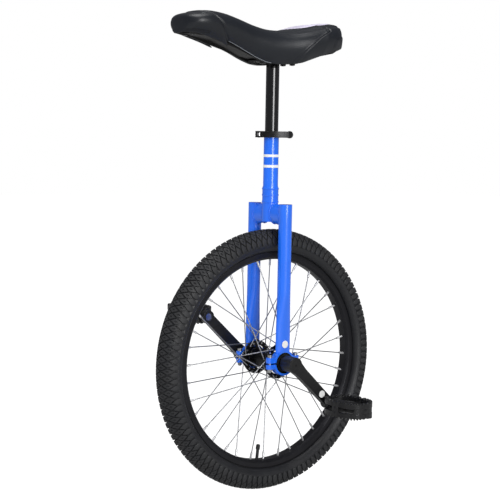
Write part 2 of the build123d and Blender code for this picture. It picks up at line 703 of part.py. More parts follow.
def leg_loft(inset, bottom):
    """The left leg's outside, or its bore when inset by the wall."""
    round_half = LEG_OD / 2 - inset
    flat = (LEG_FLAT_WIDTH / 2 - inset, LEG_FLAT_THICKNESS / 2 - inset)
    upper = AXLE_Z + LEG_ROUND_END
    lower = AXLE_Z + LEG_FLAT_START
    top = LEG_TOP - LEG_CAP_THICKNESS
    straight = extrude(Plane(origin=(0, LEG_Y, upper)) * Circle(round_half), top - upper)
    sections = []
    for share in (0.0, 0.25, 0.5, 0.75, 1.0):
        ease = share * share * (3 - 2 * share)
        half_x = round_half + (flat[0] - round_half) * ease
        half_y = round_half + (flat[1] - round_half) * ease
        sections.append(leg_section(upper + (lower - upper) * share, half_x, max(half_y, 0.5)))
    flat_part = extrude(Plane(origin=(0, LEG_Y, bottom)) * Ellipse(*flat), lower - bottom)
    return straight + loft(sections) + flat_part


def fork_leg():
    """The left leg: round at the crown, pressed flat above the bearing."""
    bottom = AXLE_Z + 8
    leg = leg_loft(0, bottom) - leg_loft(LEG_WALL, bottom)
    return leg - drum(HOLDER_RADIUS + PRESS, LEG_Y - HOLDER_WIDTH, LEG_Y + HOLDER_WIDTH)


def leg_cap():
    """The left leg's welded top disc."""
    return post(LEG_OD / 2, LEG_TOP - LEG_CAP_THICKNESS, LEG_TOP, 0, LEG_Y)


def crown_stub():
    """The left bridge from the seat tube to the leg, an oval tube that slopes down."""
    middle = LEG_TOP - 1 - STUB_HEIGHT / 2
    half_drop = STUB_DROP / 2
    start = (0, 0, middle + half_drop)
    along = Vector(0, LEG_Y, -STUB_DROP)
    plane = Plane(origin=start, x_dir=(1, 0, 0), z_dir=along)
    outer = extrude(plane * Ellipse(STUB_WIDTH / 2, STUB_HEIGHT / 2), along.length)
    inner = extrude(plane * Ellipse(STUB_WIDTH / 2 - STUB_WALL, STUB_HEIGHT / 2 - STUB_WALL), along.length)
    low, high = SEAT_TUBE_BOTTOM - STUB_HEIGHT, LEG_TOP + STUB_HEIGHT
    tube = outer - inner
    tube -= post(SEAT_TUBE_OD / 2 + SEAT_TUBE_FLARE + PRESS, low, high)
    tube -= post(LEG_OD / 2 + PRESS, low, high, 0, LEG_Y)
    return tube - block((-STUB_WIDTH, LEG_Y, low), (STUB_WIDTH, LEG_Y * 2, high))


def ear_blocks(z_low, z_high):
    """The two bolting ears of the left holder between two heights above the axle."""
    low_y = LEG_Y - EAR_WIDTH / 2
    high_y = LEG_Y + EAR_WIDTH / 2
    ears = block((-EAR_REACH, low_y, AXLE_Z + z_low), (EAR_REACH, high_y, AXLE_Z + z_high))
    return fillet(ears.edges().filter_by(Axis.Z), EAR_WIDTH / 2 - 0.5)


def ear_holes():
    """Bolt holes through the left holder's ears."""
    low, high = AXLE_Z - 2 * HOLDER_RADIUS, AXLE_Z + 2 * HOLDER_RADIUS
    return [post(EAR_BOLT_RADIUS + LOOSE, low, high, sign * EAR_BOLT_X, LEG_Y) for sign in (-1, 1)]


def holder_ring():
    """The left holder's full ring before it is split."""
    return drum(HOLDER_RADIUS, LEG_Y - HOLDER_WIDTH / 2, HOUSING_FACE)


def bearing_seat():
    """The bore for the left bearing."""
    return drum(BEARING_RADIUS + PRESS, LEG_Y - HOLDER_WIDTH, LEG_Y + HOLDER_WIDTH)


def bearing_holder():
    """The left holder's upper half, welded to the leg."""
    half = HOLDER_GAP / 2
    above = block((-60, 0, AXLE_Z + half), (60, 2 * LEG_Y, AXLE_Z + 60))
    body = holder_ring() + ear_blocks(half, half + UPPER_EAR)
    return (body & above) - bearing_seat() - ear_holes()


def bearing_cap():
    """The left holder's removable lower half."""
    half = HOLDER_GAP / 2
    below = block((-60, 0, AXLE_Z - 60), (60, 2 * LEG_Y, AXLE_Z - half))
    body = holder_ring() + ear_blocks(-half - LOWER_EAR, -half)
    return (body & below) - bearing_seat() - ear_holes()


def cap_bolts():
    """Cap screws down through all four pairs of ears."""
    top = AXLE_Z + HOLDER_GAP / 2 + UPPER_EAR
    low = AXLE_Z - HOLDER_GAP / 2 - LOWER_EAR
    bolts = []
    for side in SIDES.values():
        for x in (-EAR_BOLT_X, EAR_BOLT_X):
            y = side * LEG_Y
            head = post(EAR_BOLT_RADIUS * 1.8, top, top + 5, x, y) - hexagon(4, top + 2, top + 6, x, y)
            bolts.append(head + post(EAR_BOLT_RADIUS, low - 7, top, x, y))
    return Compound(children=bolts)


def cap_nuts():
    """Hexagon nuts under the ears."""
    low = AXLE_Z - HOLDER_GAP / 2 - LOWER_EAR
    nuts = []
    for side in SIDES.values():
        for x in (-EAR_BOLT_X, EAR_BOLT_X):
            y = side * LEG_Y
            nut = hexagon(8, low - 5, low, x, y) - post(EAR_BOLT_RADIUS + PRESS, low - 6, low + 1, x, y)
            nuts.append(nut)
    return Compound(children=nuts)


# ---------------------------------------------------------------- seat clamp
CLAMP_PLANE = Plane(
    origin=(0, 0, CLAMP_MIDDLE),
    x_dir=(cos(radians(CLAMP_ANGLE)), sin(radians(CLAMP_ANGLE)), 0),
    z_dir=(0, 0, 1),
)


def clamp_block(low, high):
    """A box in the clamp's own frame: out along the ears, across them, up."""
    return CLAMP_PLANE * block(low, high)


def clamp_collar():
    """The split collar with two ears and a lip over the tube's end."""
    half = CLAMP_HEIGHT / 2
    inner = SEAT_TUBE_OD / 2 + PRESS
    ring = Cylinder(inner + CLAMP_WALL, CLAMP_HEIGHT)
    ears = block((inner, -CLAMP_EAR_HALF, -half), (CLAMP_EAR_REACH, CLAMP_EAR_HALF, half))
    outer_edges = ears.edges().filter_by(Axis.Y).group_by(Axis.X)[-1]
    ears = fillet(outer_edges, half - 0.5)
    body = ring + ears
    body -= Pos(0, 0, -1.5) * Cylinder(inner, CLAMP_HEIGHT)
    body -= Cylinder(POST_OD / 2 + SLIP, CLAMP_HEIGHT * 2)
    body -= block((0, -CLAMP_SLIT / 2, -half - 1), (CLAMP_EAR_REACH + 1, CLAMP_SLIT / 2, half + 1))
    body -= rod(SKEWER_RADIUS + LOOSE, (SKEWER_DISTANCE, -20, 0), (SKEWER_DISTANCE, 20, 0))
    return CLAMP_PLANE * body


def clamp_skewer():
    """The skewer, with an eye at the cam end."""
    low = -CLAMP_EAR_HALF - 8
    shaft = rod(SKEWER_RADIUS, (SKEWER_DISTANCE, low, 0), (SKEWER_DISTANCE, CAM_DISTANCE - 3, 0))
    eye = Pos(SKEWER_DISTANCE, CAM_DISTANCE, 0) * Cylinder(4.2, 5.6)
    pin_hole = Pos(SKEWER_DISTANCE, CAM_DISTANCE, 0) * Cylinder(SKEWER_RADIUS + RUNNING, 9)
    return CLAMP_PLANE * (shaft + eye - pin_hole)


def clamp_nut():
    """The round adjusting nut at the skewer's far end."""
    near = -CLAMP_EAR_HALF - PRESS
    nut = rod(6.5, (SKEWER_DISTANCE, near - 6.5, 0), (SKEWER_DISTANCE, near, 0))
    bore = rod(SKEWER_RADIUS + PRESS, (SKEWER_DISTANCE, near - 9, 0), (SKEWER_DISTANCE, near + 1, 0))
    return CLAMP_PLANE * (nut - bore)


def cam_seat():
    """The plastic pad that the cam bears on."""
    near = CLAMP_EAR_HALF + PRESS
    pad = block((SKEWER_DISTANCE - 6, near, -5.5), (SKEWER_DISTANCE + 6, near + 3.5, 5.5))
    pad -= rod(SKEWER_RADIUS + LOOSE, (SKEWER_DISTANCE, 0, 0), (SKEWER_DISTANCE, 30, 0))
    pad -= Pos(SKEWER_DISTANCE, CAM_DISTANCE, 0) * Cylinder(CAM_RADIUS + SLIP, 20)
    return CLAMP_PLANE * pad


def clamp_lever():
    """The cam head and the curved lever that wraps the collar."""
    half = CLAMP_HEIGHT / 2
    head = Pos(SKEWER_DISTANCE, CAM_DISTANCE, 0) * Cylinder(CAM_RADIUS, CLAMP_HEIGHT)
    slot = block((SKEWER_DISTANCE - 4.6, 0, -3.1), (SKEWER_DISTANCE + 20, 40, 3.1))
    head -= slot
    start = (SKEWER_DISTANCE - 3, CAM_DISTANCE + 1)
    belly = (-2, SEAT_TUBE_OD / 2 + CLAMP_WALL + 3.6)
    tip = (-LEVER_REACH, CAM_DISTANCE - 5)
    line = ThreePointArc(start, belly, tip)
    strip = make_face(offset(line, LEVER_THICKNESS / 2, side=Side.BOTH))
    arm = extrude(Plane(origin=(0, 0, -half)) * strip, CLAMP_HEIGHT)
    arm -= Pos(SKEWER_DISTANCE, CAM_DISTANCE, 0) * Cylinder(4.6, 6.2)
    end_round = rod(half + 1, (tip[0] + 3, tip[1] - 3, 0), (tip[0] + 3, tip[1] + 4, 0))
    body = head + arm + end_round
    body -= Pos(SKEWER_DISTANCE, CAM_DISTANCE, 0) * Cylinder(SKEWER_RADIUS + PRESS, 20)
    return CLAMP_PLANE * body


def lever_pin():
    """The upright pin in the cam head."""
    return CLAMP_PLANE * (Pos(SKEWER_DISTANCE, CAM_DISTANCE, 0) * Cylinder(SKEWER_RADIUS, CLAMP_HEIGHT))


# ---------------------------------------------------------------- seat post and saddle
def seat_post():
    """The seat post's tube."""
    bore = post(POST_OD / 2 - POST_WALL, POST_BOTTOM - 1, POST_TOP - POST_CLOSED_END)
    return post(POST_OD / 2, POST_BOTTOM, POST_TOP) - bore


def saddle_bolt_places():
    """The four bolts' places under the saddle."""
    return [(sx * SADDLE_BOLT_X, sy * SADDLE_BOLT_Y) for sx in (-1, 1) for sy in (-1, 1)]


def post_plate():
    """The plate welded on the post, with four bolt holes."""
    sketch = RectangleRounded(PLATE_LENGTH, PLATE_WIDTH, PLATE_CORNER)
    plate = extrude(Plane(origin=(0, 0, POST_TOP)) * sketch, PLATE_THICKNESS)
    hole = SADDLE_BOLT_RADIUS + LOOSE
    return plate - [post(hole, POST_TOP - 1, PLATE_TOP + 1, x, y) for x, y in saddle_bolt_places()]


def saddle_bolts():
    """Flat-headed bolts set in the base, pointing down."""
    bolts = []
    for x, y in saddle_bolt_places():
        head = post(SADDLE_HEAD_RADIUS, FLOOR_TOP - SADDLE_HEAD, FLOOR_TOP, x, y)
        shank = post(SADDLE_BOLT_RADIUS, POST_TOP - SADDLE_BOLT_END, FLOOR_TOP - SADDLE_HEAD, x, y)
        bolts.append(head + shank)
    return Compound(children=bolts)


def saddle_washers():
    """Washers under the plate."""
    rings = []
    bore = SADDLE_BOLT_RADIUS + PRESS
    for x, y in saddle_bolt_places():
        disc = post(SADDLE_WASHER_RADIUS, POST_TOP - SADDLE_WASHER, POST_TOP, x, y)
        rings.append(disc - post(bore, POST_TOP - 2 * SADDLE_WASHER, POST_TOP + 1, x, y))
    return Compound(children=rings)


def saddle_nuts():
    """Nuts under the washers."""
    nuts = []
    top = POST_TOP - SADDLE_WASHER
    low = top - SADDLE_NUT
    bore = SADDLE_BOLT_RADIUS + PRESS
    for x, y in saddle_bolt_places():
        nuts.append(hexagon(SADDLE_NUT_FLATS, low, top, x, y) - post(bore, low - 1, top + 1, x, y))
    return Compound(children=nuts)


# Saddle stations along X: the half widths of the top and of the hem, then heights above the
# base's flat floor: the crown, the floor, the cover's hem and the base's lower lip.
SADDLE_STATIONS = [
    (-138, 36, 30, 61, 38, 31, 30),
    (-126, 57, 46, 70, 32, 23, 22),
    (-105, 72, 56, 72, 22, 15, 14),
    (-70, 80, 60, 67, 12, 8, 7),
    (-35, 74, 53, 57.5, 0, -5, -6),
    (0, 62, 40, 52.5, 0, -10, -11),
    (35, 53, 30, 53.5, 0, -9.5, -10.5),
    (70, 48, 28, 60, 7, 2, 1),
    (105, 47, 28, 69, 21, 16, 13),
    (140, 49, 29, 77, 32, 26, 22),
    (176, 49, 29, 78, 38, 33, 32),
]
NOSE_STATIONS = [
    (176, 50, 30.5, 77, 38, 33, 31),
    (196, 45, 28, 74, 41, 36, 33),
    (212, 34, 22, 66, 43, 38, 36),
    (222, 18, 12, 56, 45, 40, 38),
]
BASE_NOSE = (206, 36, 21, 0, 42, 0, 34.5)
HEM, LIP = 5, 6
BASE_INSET = COVER_THICKNESS + BASE_GAP
BASE_TAIL = (SADDLE_STATIONS[0][0] + BASE_INSET, *SADDLE_STATIONS[0][1:])
BASE_STATIONS = [BASE_TAIL] + SADDLE_STATIONS[1:] + [BASE_NOSE]


def pad_face(x, half, foot_half, crown, low, inset, skirt):
    """A crowned section drawn in at its foot: a spline over the top, then a straight skirt."""
    side = half - inset
    foot = foot_half - inset
    rise = crown - inset - low
    flank = foot + 0.78 * (side - foot)
    right = [(foot, 0), (flank, 0.3), (side, 0.58), (0.93 * side, 0.81), (0.68 * side, 0.94)]
    points = [(y, low + share * rise) for y, share in right]
    points += [(0, low + rise)] + [(-y, z) for y, z in reversed(points)]
    outline = Spline(*points) + Polyline(points[-1], (-foot, low - skirt), (foot, low - skirt), points[0])
    plane = Plane(origin=(x, 0, FLOOR_TOP), x_dir=(0, 1, 0), z_dir=(1, 0, 0))
    return plane * make_face(outline)


def pad_loft(stations, low_column, inset, skirt):
    """A loft over pad sections; the column picks the height where the skirt starts."""
    return loft([pad_face(*s[:4], s[low_column], inset, skirt) for s in stations])


def base_loft(stations, inset, low_shift, top_shift):
    """A loft over plain sections between the base's lip and its floor."""
    faces = []
    for x, _, half, _, floor, _, lip in stations:
        side = half - inset
        low = lip + low_shift
        high = floor + top_shift
        corners = [(-side, low), (side, low), (side, high), (-side, high)]
        plane = Plane(origin=(x, 0, FLOOR_TOP), x_dir=(0, 1, 0), z_dir=(1, 0, 0))
        faces.append(plane * make_face(Polyline(*corners, close=True)))
    return loft(faces, ruled=True)


def ends_trimmed(stations, trim):
    """The same stations with the first and last moved inwards."""
    first, last = stations[0], stations[-1]
    return [(first[0] + trim, *first[1:])] + stations[1:-1] + [(last[0] - trim, *last[1:])]


def cover_inside(clearance):
    """The space inside the cover, down to its hem."""
    inset = COVER_THICKNESS + clearance
    return pad_loft(ends_trimmed(SADDLE_STATIONS, inset), HEM, inset, HEM_CUT)


def saddle_foam():
    """The foam that fills the cover above the base's floor."""
    behind = (SADDLE_STATIONS[0][0] - 10, *SADDLE_STATIONS[0][1:])
    below_floor = base_loft([behind] + BASE_STATIONS, -NOSE_STATIONS[0][2], -80, PRESS)
    return cover_inside(RUNNING) - below_floor


def saddle_cover():
    """The cover: a skin over the foam, open below and where the base runs out under the nose."""
    outer = pad_loft(SADDLE_STATIONS, HEM, 0, SLIP)
    x, _, half, _, floor, hem, _ = SADDLE_STATIONS[-1]
    side = half - BASE_INSET + 2 * SLIP
    low = (x - 2 * BASE_GAP, -side, FLOOR_TOP + hem - HEM_CUT)
    passage = block(low, (x + BASE_GAP, side, FLOOR_TOP + floor + 2 * SLIP))
    return outer - cover_inside(0) - passage


def saddle_base():
    """The moulded base: a floor with a lip all round, bolted to the plate."""
    outer = base_loft(BASE_STATIONS, BASE_INSET, 0, 0)
    hollow = ends_trimmed(BASE_STATIONS, SADDLE_RIB)
    body = outer - base_loft(hollow, BASE_INSET + SADDLE_RIB, -HEM_CUT, -SADDLE_FLOOR)
    for x, y in saddle_bolt_places():
        body -= post(SADDLE_BOLT_RADIUS + LOOSE, PLATE_TOP - 1, FLOOR_TOP + 1, x, y)
        body -= post(SADDLE_HEAD_RADIUS + PRESS, FLOOR_TOP - SADDLE_HEAD, FLOOR_TOP + 1, x, y)
    for x, y in bumper_screw_places():
        body -= post(BUMPER_SCREW_RADIUS + LOOSE, FLOOR_TOP, FLOOR_TOP + NOSE_STATIONS[1][3], x, y)
    return body


def bumper_screw_places():
    """Where the nose is screwed up through the base's floor."""
    x, _, half = NOSE_STATIONS[1][:3]
    return [(x, sign * (half - BUMPER_SCREW_INSET)) for sign in (-1, 1)]


def nose_floor():
    """Height of the base's floor at the bumper screws."""
    low, high = SADDLE_STATIONS[-1], BASE_NOSE
    share = (NOSE_STATIONS[1][0] - low[0]) / (high[0] - low[0])
    return FLOOR_TOP + low[4] + (high[4] - low[4]) * share


def front_bumper():
    """The hollow moulded nose, with two screw bosses that stand on the base."""
    outer = pad_loft(NOSE_STATIONS, LIP, 0, SLIP)
    back_x, top = NOSE_STATIONS[0][0], FLOOR_TOP + NOSE_STATIONS[1][3]
    inner_stations = [(back_x - 1, *NOSE_STATIONS[0][1:])] + NOSE_STATIONS[1:-1]
    inner = pad_loft(inner_stations, LIP, BUMPER_WALL, HEM_CUT)
    gap = block((0, -PLATE_LENGTH, FLOOR_TOP), (back_x + SLIP, PLATE_LENGTH, 2 * FLOOR_TOP))
    foot = nose_floor() + BUMPER_BOSS_GAP
    shell = outer - inner - gap
    for x, y in bumper_screw_places():
        shell += post(BOSS_RADIUS, foot, top, x, y) & outer
    bore = BUMPER_SCREW_RADIUS + PRESS
    return shell - [post(bore, foot - 1, foot + BUMPER_BORE_DEPTH, x, y) for x, y in bumper_screw_places()]


def rear_bumper():
    """A band that wraps the rear end of the cover, cut from a shell grown around it."""
    near, far = -2 * SLIP, -2 * SLIP - BUMPER_WALL
    outside = pad_loft(ends_trimmed(SADDLE_STATIONS, far), HEM, far, SLIP)
    inside = pad_loft(ends_trimmed(SADDLE_STATIONS, near), HEM, near, HEM_CUT)
    reach = FLOOR_TOP + REAR_BAND_TOP
    slice_box = block((-reach, -reach, POST_TOP), (REAR_BAND_FRONT, reach, reach))
    return (outside & slice_box) - inside


def bumper_screws():
    """Screws up through the base's floor into the nose's bosses."""
    under = nose_floor() - SADDLE_FLOOR - SADDLE_HEAD
    screws = []
    for x, y in bumper_screw_places():
        head = post(2 * BUMPER_SCREW_RADIUS, under - SADDLE_HEAD, under, x, y)
        screws.append(head + post(BUMPER_SCREW_RADIUS, under, nose_floor() + BUMPER_BORE_DEPTH - 2, x, y))
    return Compound(children=screws)


def stickers(places):
    """Round plain stickers lying on faces that look out along Y."""
    discs = []
    for x, y, z in places:
        low, high = sorted((y, y + (STICKER_THICKNESS if y > 0 else -STICKER_THICKNESS)))
        discs.append(drum(STICKER_RADIUS, low, high, x, z))
    return Compound(children=discs)


# ---------------------------------------------------------------- build every node
save("tyre", tyre())
save("inner_tube", inner_tube())
save("rim", rim())
save("rim_tape", rim_tape())
save("valve_stem", valve_stem())
save("valve_cap", valve_cap())
save("spokes", spokes())
save("spoke_nipples", spoke_nipples())
save("hub_shell", hub_shell())
save("axle", axle())
save("bearing_outer_races", bearing_outer_races())
save("bearing_inner_races", bearing_inner_races())
save("bearing_balls", bearing_balls())
save("bearing_shields", bearing_shields())

save("crank_left", crank())
save("crank_right", opposite(crank()))
save("crank_bolts", Compound(children=[crank_bolt(), opposite(crank_bolt())]))
save("dust_caps", Compound(children=[dust_cap(), opposite(dust_cap())]))
save("pedal_locknuts", Compound(children=[at_pedal(pedal_locknut(), side) for side in SIDES.values()]))

for name, side in SIDES.items():
    save(f"pedal_spindle_{name}", at_pedal(pedal_spindle(), side))
    save(f"pedal_body_{name}", at_pedal(pedal_body(), side))
    save(f"pedal_bushings_{name}", Compound(children=[at_pedal(piece, side) for piece in pedal_bushings()]))
    save(f"pedal_end_cap_{name}", at_pedal(pedal_end_cap(), side))
    save(f"fork_leg_{name}", sided(fork_leg(), side))
    save(f"leg_cap_{name}", sided(leg_cap(), side))
    save(f"crown_stub_{name}", sided(crown_stub(), side))
    save(f"bearing_holder_{name}", sided(bearing_holder(), side))
    save(f"bearing_cap_{name}", sided(bearing_cap(), side))

save("seat_tube", seat_tube())
save("cap_bolts", cap_bolts())
save("cap_nuts", cap_nuts())
save("clamp_collar", clamp_collar())
save("clamp_skewer", clamp_skewer())
save("clamp_nut", clamp_nut())
save("cam_seat", cam_seat())
save("clamp_lever", clamp_lever())
save("lever_pin", lever_pin())

save("seat_post", seat_post())
save("post_plate", post_plate())
save("saddle_bolts", saddle_bolts())
save("saddle_washers", saddle_washers())
save("saddle_nuts", saddle_nuts())
save("saddle_foam", saddle_foam())
save("saddle_cover", saddle_cover())
save("saddle_base", saddle_base())
save("front_bumper", front_bumper())
save("rear_bumper", rear_bumper())
save("bumper_screws", bumper_screws())

leg_face = LEG_Y + LEG_FLAT_THICKNESS / 2
save("leg_stickers", stickers([(0, side * leg_face, AXLE_Z + LEG_STICKER_RISE) for side in SIDES.values()]))
sticker_x, _, sticker_z = on_wheel(CRANK_STICKER_REACH, CRANK_ANGLE, 0)
on_cranks = [(sticker_x, CRANK_FACE, sticker_z), (-sticker_x, -CRANK_FACE, 2 * AXLE_Z - sticker_z)]
save("crank_stickers", stickers(on_cranks))
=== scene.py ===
import math

import bmesh
import bpy
import numpy as np
from mathutils import Matrix, Vector


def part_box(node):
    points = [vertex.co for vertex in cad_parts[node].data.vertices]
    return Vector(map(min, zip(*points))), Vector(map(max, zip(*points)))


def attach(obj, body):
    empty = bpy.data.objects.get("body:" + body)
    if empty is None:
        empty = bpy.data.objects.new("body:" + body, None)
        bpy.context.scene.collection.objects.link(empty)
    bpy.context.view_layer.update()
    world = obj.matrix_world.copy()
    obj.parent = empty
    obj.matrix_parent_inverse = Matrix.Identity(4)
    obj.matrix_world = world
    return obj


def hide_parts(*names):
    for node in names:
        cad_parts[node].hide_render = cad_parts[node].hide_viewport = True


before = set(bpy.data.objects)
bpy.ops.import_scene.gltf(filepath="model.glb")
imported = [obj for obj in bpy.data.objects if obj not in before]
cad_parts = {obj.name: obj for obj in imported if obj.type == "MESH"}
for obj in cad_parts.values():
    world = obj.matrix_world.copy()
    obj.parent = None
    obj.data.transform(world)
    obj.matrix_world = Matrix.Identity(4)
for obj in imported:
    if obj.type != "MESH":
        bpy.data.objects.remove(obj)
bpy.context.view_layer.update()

# ---------------------------------------------------------------- sizes read from the frame, in metres
MM = 0.001
TYRE_LOW, TYRE_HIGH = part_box("tyre")
TYRE_RADIUS = (TYRE_HIGH[0] - TYRE_LOW[0]) / 2
TYRE_HALF = (TYRE_HIGH[1] - TYRE_LOW[1]) / 2 - 0.05 * MM
AXLE_Z = (TYRE_LOW[2] + TYRE_HIGH[2]) / 2
SECTION_RADIUS = TYRE_RADIUS - TYRE_HALF
RIM_LOW, RIM_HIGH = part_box("rim")
FLOOR_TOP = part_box("saddle_bolts")[1][2]
SEAT_TUBE_LOW, SEAT_TUBE_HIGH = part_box("seat_tube")
TUBE_RADIUS = (SEAT_TUBE_HIGH[0] - SEAT_TUBE_LOW[0]) / 2
LEG_LOW, LEG_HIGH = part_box("leg_cap_left")
LEG_RADIUS = (LEG_HIGH[0] - LEG_LOW[0]) / 2
LEG_Y = (LEG_LOW[1] + LEG_HIGH[1]) / 2
LEG_TOP = LEG_HIGH[2]


# ---------------------------------------------------------------- mesh helpers
def grid_faces(rows, columns, wrap_rows=False, wrap_columns=False):
    """Quads between neighbouring grid points; a wrapped way joins its last line to its first."""
    i = np.arange(rows if wrap_rows else rows - 1)
    j = np.arange(columns if wrap_columns else columns - 1)
    i, j = np.meshgrid(i, j, indexing="ij")
    below, beside = (i + 1) % rows, (j + 1) % columns
    corners = [i * columns + j, below * columns + j, below * columns + beside, i * columns + beside]
    return np.stack(corners, axis=-1).reshape(-1, 4)


def piece(name, points, faces, body, material, sharp=40.0, merge=1e-6):
    """A mesh from a point array and face lists, merged at its seams and turned outwards, on a body."""
    mesh = bpy.data.meshes.new(name)
    mesh.from_pydata(np.asarray(points).reshape(-1, 3).tolist(), [], [list(map(int, f)) for f in faces])
    work = bmesh.new()
    work.from_mesh(mesh)
    bmesh.ops.remove_doubles(work, verts=work.verts, dist=merge)
    bmesh.ops.dissolve_degenerate(work, edges=work.edges, dist=merge)
    bmesh.ops.recalc_face_normals(work, faces=work.faces)
    work.to_mesh(mesh)
    work.free()
    mesh.shade_smooth()
    mesh.set_sharp_from_angle(angle=math.radians(sharp))
    made = bpy.data.objects.new(name, mesh)
    bpy.context.collection.objects.link(made)
    mesh.materials.append(material)
    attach(made, body)
    return made


def thicken(made, millimetres):
    """A wall of this thickness, inwards from the surface."""
    shell = made.modifiers.new("thickness", "SOLIDIFY")
    shell.thickness, shell.offset = millimetres * MM, -1


def turned(y, radius, steps):
    """Surface of revolution about the axle: outline point j turned by 2 pi i / steps."""
    turn = np.linspace(0, 2 * np.pi, steps, endpoint=False)[:, None]
    x = radius * np.cos(turn)
    z = AXLE_Z + radius * np.sin(turn)
    return np.stack([x, np.broadcast_to(y, x.shape), z], axis=-1)


def upright(radius, z, steps, centre=(0.0, 0.0)):
    """Surface of revolution about a vertical line: outline point j turned by 2 pi i / steps."""
    turn = np.linspace(0, 2 * np.pi, steps, endpoint=False)[:, None]
    x = centre[0] + radius * np.cos(turn)
    y = centre[1] + radius * np.sin(turn)
    return np.stack([x, y, np.broadcast_to(z, x.shape)], axis=-1)


def rounded(corners, radius, steps=4):
    """A closed outline whose corners become quadratic curves that start this far from each corner."""
    corners = np.asarray(corners, float)
    before = np.roll(corners, 1, axis=0) - corners
    after = np.roll(corners, -1, axis=0) - corners
    size_before = np.linalg.norm(before, axis=1, keepdims=True)
    size_after = np.linalg.norm(after, axis=1, keepdims=True)
    start = corners + before / size_before * np.minimum(radius, size_before * 0.45)
    end = corners + after / size_after * np.minimum(radius, size_after * 0.45)
    t = np.linspace(0, 1, steps)[None, :, None]
    curve = (1 - t) ** 2 * start[:, None] + 2 * t * (1 - t) * corners[:, None] + t ** 2 * end[:, None]
    return curve.reshape(-1, corners.shape[1])


def smooth(knots, values, x):
    """Cubic Hermite curve through the knots, its slope at each knot the mean of its neighbours'."""
    knots, values = np.asarray(knots, float), np.asarray(values, float)
    slope = np.gradient(values, knots)
    i = np.clip(np.searchsorted(knots, x) - 1, 0, len(knots) - 2)
    span = knots[i + 1] - knots[i]
    t = np.clip((x - knots[i]) / span, 0, 1)
    hold = (1 + 2 * t) * (1 - t) ** 2 * values[i] + t ** 2 * (3 - 2 * t) * values[i + 1]
    lean = t * (1 - t) ** 2 * slope[i] * span + t ** 2 * (t - 1) * slope[i + 1] * span
    return hold + lean


def step(low, high, x):
    """Smooth step: 0 below low, 1 above high, 3t^2 - 2t^3 between."""
    t = np.clip((x - low) / (high - low), 0, 1)
    return t * t * (3 - 2 * t)


def cord_round(path, radius, sides, closed=False, outward=None):
    """A round bar: path point i plus its radius times a circle in the plane square to the path there."""
    path = np.asarray(path, float)
    ahead = np.roll(path, -1, axis=0) - np.roll(path, 1, axis=0) if closed else np.gradient(path, axis=0)
    ahead /= np.linalg.norm(ahead, axis=1, keepdims=True)
    out = path - path.mean(axis=0) if outward is None else np.broadcast_to(outward, path.shape)
    out = out - (out * ahead).sum(axis=1, keepdims=True) * ahead
    out = out / np.linalg.norm(out, axis=1, keepdims=True)
    side = np.cross(ahead, out)
    turn = np.linspace(0, 2 * np.pi, sides, endpoint=False)[None, :, None]
    ring = np.cos(turn) * out[:, None] + np.sin(turn) * side[:, None]
    return path[:, None] + np.reshape(radius, (-1, 1, 1)) * ring


def capped(rows, columns):
    """Faces of a bar of closed rings: quads along it, and one many-sided face at each end."""
    ends = [list(range(columns)), list(range((rows - 1) * columns, rows * columns))]
    return grid_faces(rows, columns, wrap_columns=True).tolist() + ends


# ---------------------------------------------------------------- node helpers
def rgb(red, green, blue):
    """A screen colour in 0 to 255 as linear light."""
    parts = [c / 255 for c in (red, green, blue)]
    return tuple(c / 12.92 if c <= 0.04045 else ((c + 0.055) / 1.055) ** 2.4 for c in parts) + (1.0,)


def add(tree, kind, **values):
    """One node. A value is a setting, or an input's constant, or an output to link into that input."""
    made = tree.nodes.new(kind)
    for key, value in values.items():
        socket = key.replace("_", " ")
        if key.startswith("at"):
            target = made.inputs[int(key[2:])]
        elif socket in made.inputs:
            target = made.inputs[socket]
        else:
            setattr(made, key, value)
            continue
        if isinstance(value, bpy.types.NodeSocket):
            tree.links.new(value, target)
        else:
            target.default_value = value
    return made


def maths(tree, operation, first, second):
    """The output of one Math node."""
    return add(tree, "ShaderNodeMath", operation=operation, at0=first, at1=second).outputs[0]


def spread(tree, value, low, high, to_low=0.0, to_high=1.0):
    """The output of one Map Range node."""
    made = add(tree, "ShaderNodeMapRange", at0=value, at1=low, at2=high, at3=to_low, at4=to_high)
    return made.outputs[0]


def mixed(tree, factor, first, second):
    """The output of one colour Mix node."""
    made = add(tree, "ShaderNodeMix", data_type="RGBA", at0=factor, at6=first, at7=second)
    return made.outputs[2]


def group(name, inputs, outputs):
    """An empty node group with named float inputs and outputs, and its two end nodes."""
    tree = bpy.data.node_groups.new(name, "ShaderNodeTree")
    for label, value in inputs.items():
        tree.interface.new_socket(label, in_out="INPUT", socket_type="NodeSocketFloat").default_value = value
    for label, kind in outputs.items():
        tree.interface.new_socket(label, in_out="OUTPUT", socket_type=kind)
    return tree, tree.nodes.new("NodeGroupInput"), tree.nodes.new("NodeGroupOutput")


def object_place(tree):
    """The object coordinate."""
    return add(tree, "ShaderNodeTexCoord").outputs["Object"]


def clouds(tree, place, scale, detail):
    """The value of one Noise texture."""
    return add(tree, "ShaderNodeTexNoise", Vector=place, Scale=scale, Detail=detail).outputs[0]


def mottle_group():
    """Soft patches: one noise, mapped to a low and a high value."""
    inputs = {"Scale": 40.0, "Low": 0.0, "High": 1.0}
    tree, given, out = group("mottle", inputs, {"Value": "NodeSocketFloat"})
    noise = clouds(tree, object_place(tree), given.outputs["Scale"], 4.0)
    value = spread(tree, noise, 0.3, 0.7, given.outputs["Low"], given.outputs["High"])
    tree.links.new(value, out.inputs["Value"])
    return tree


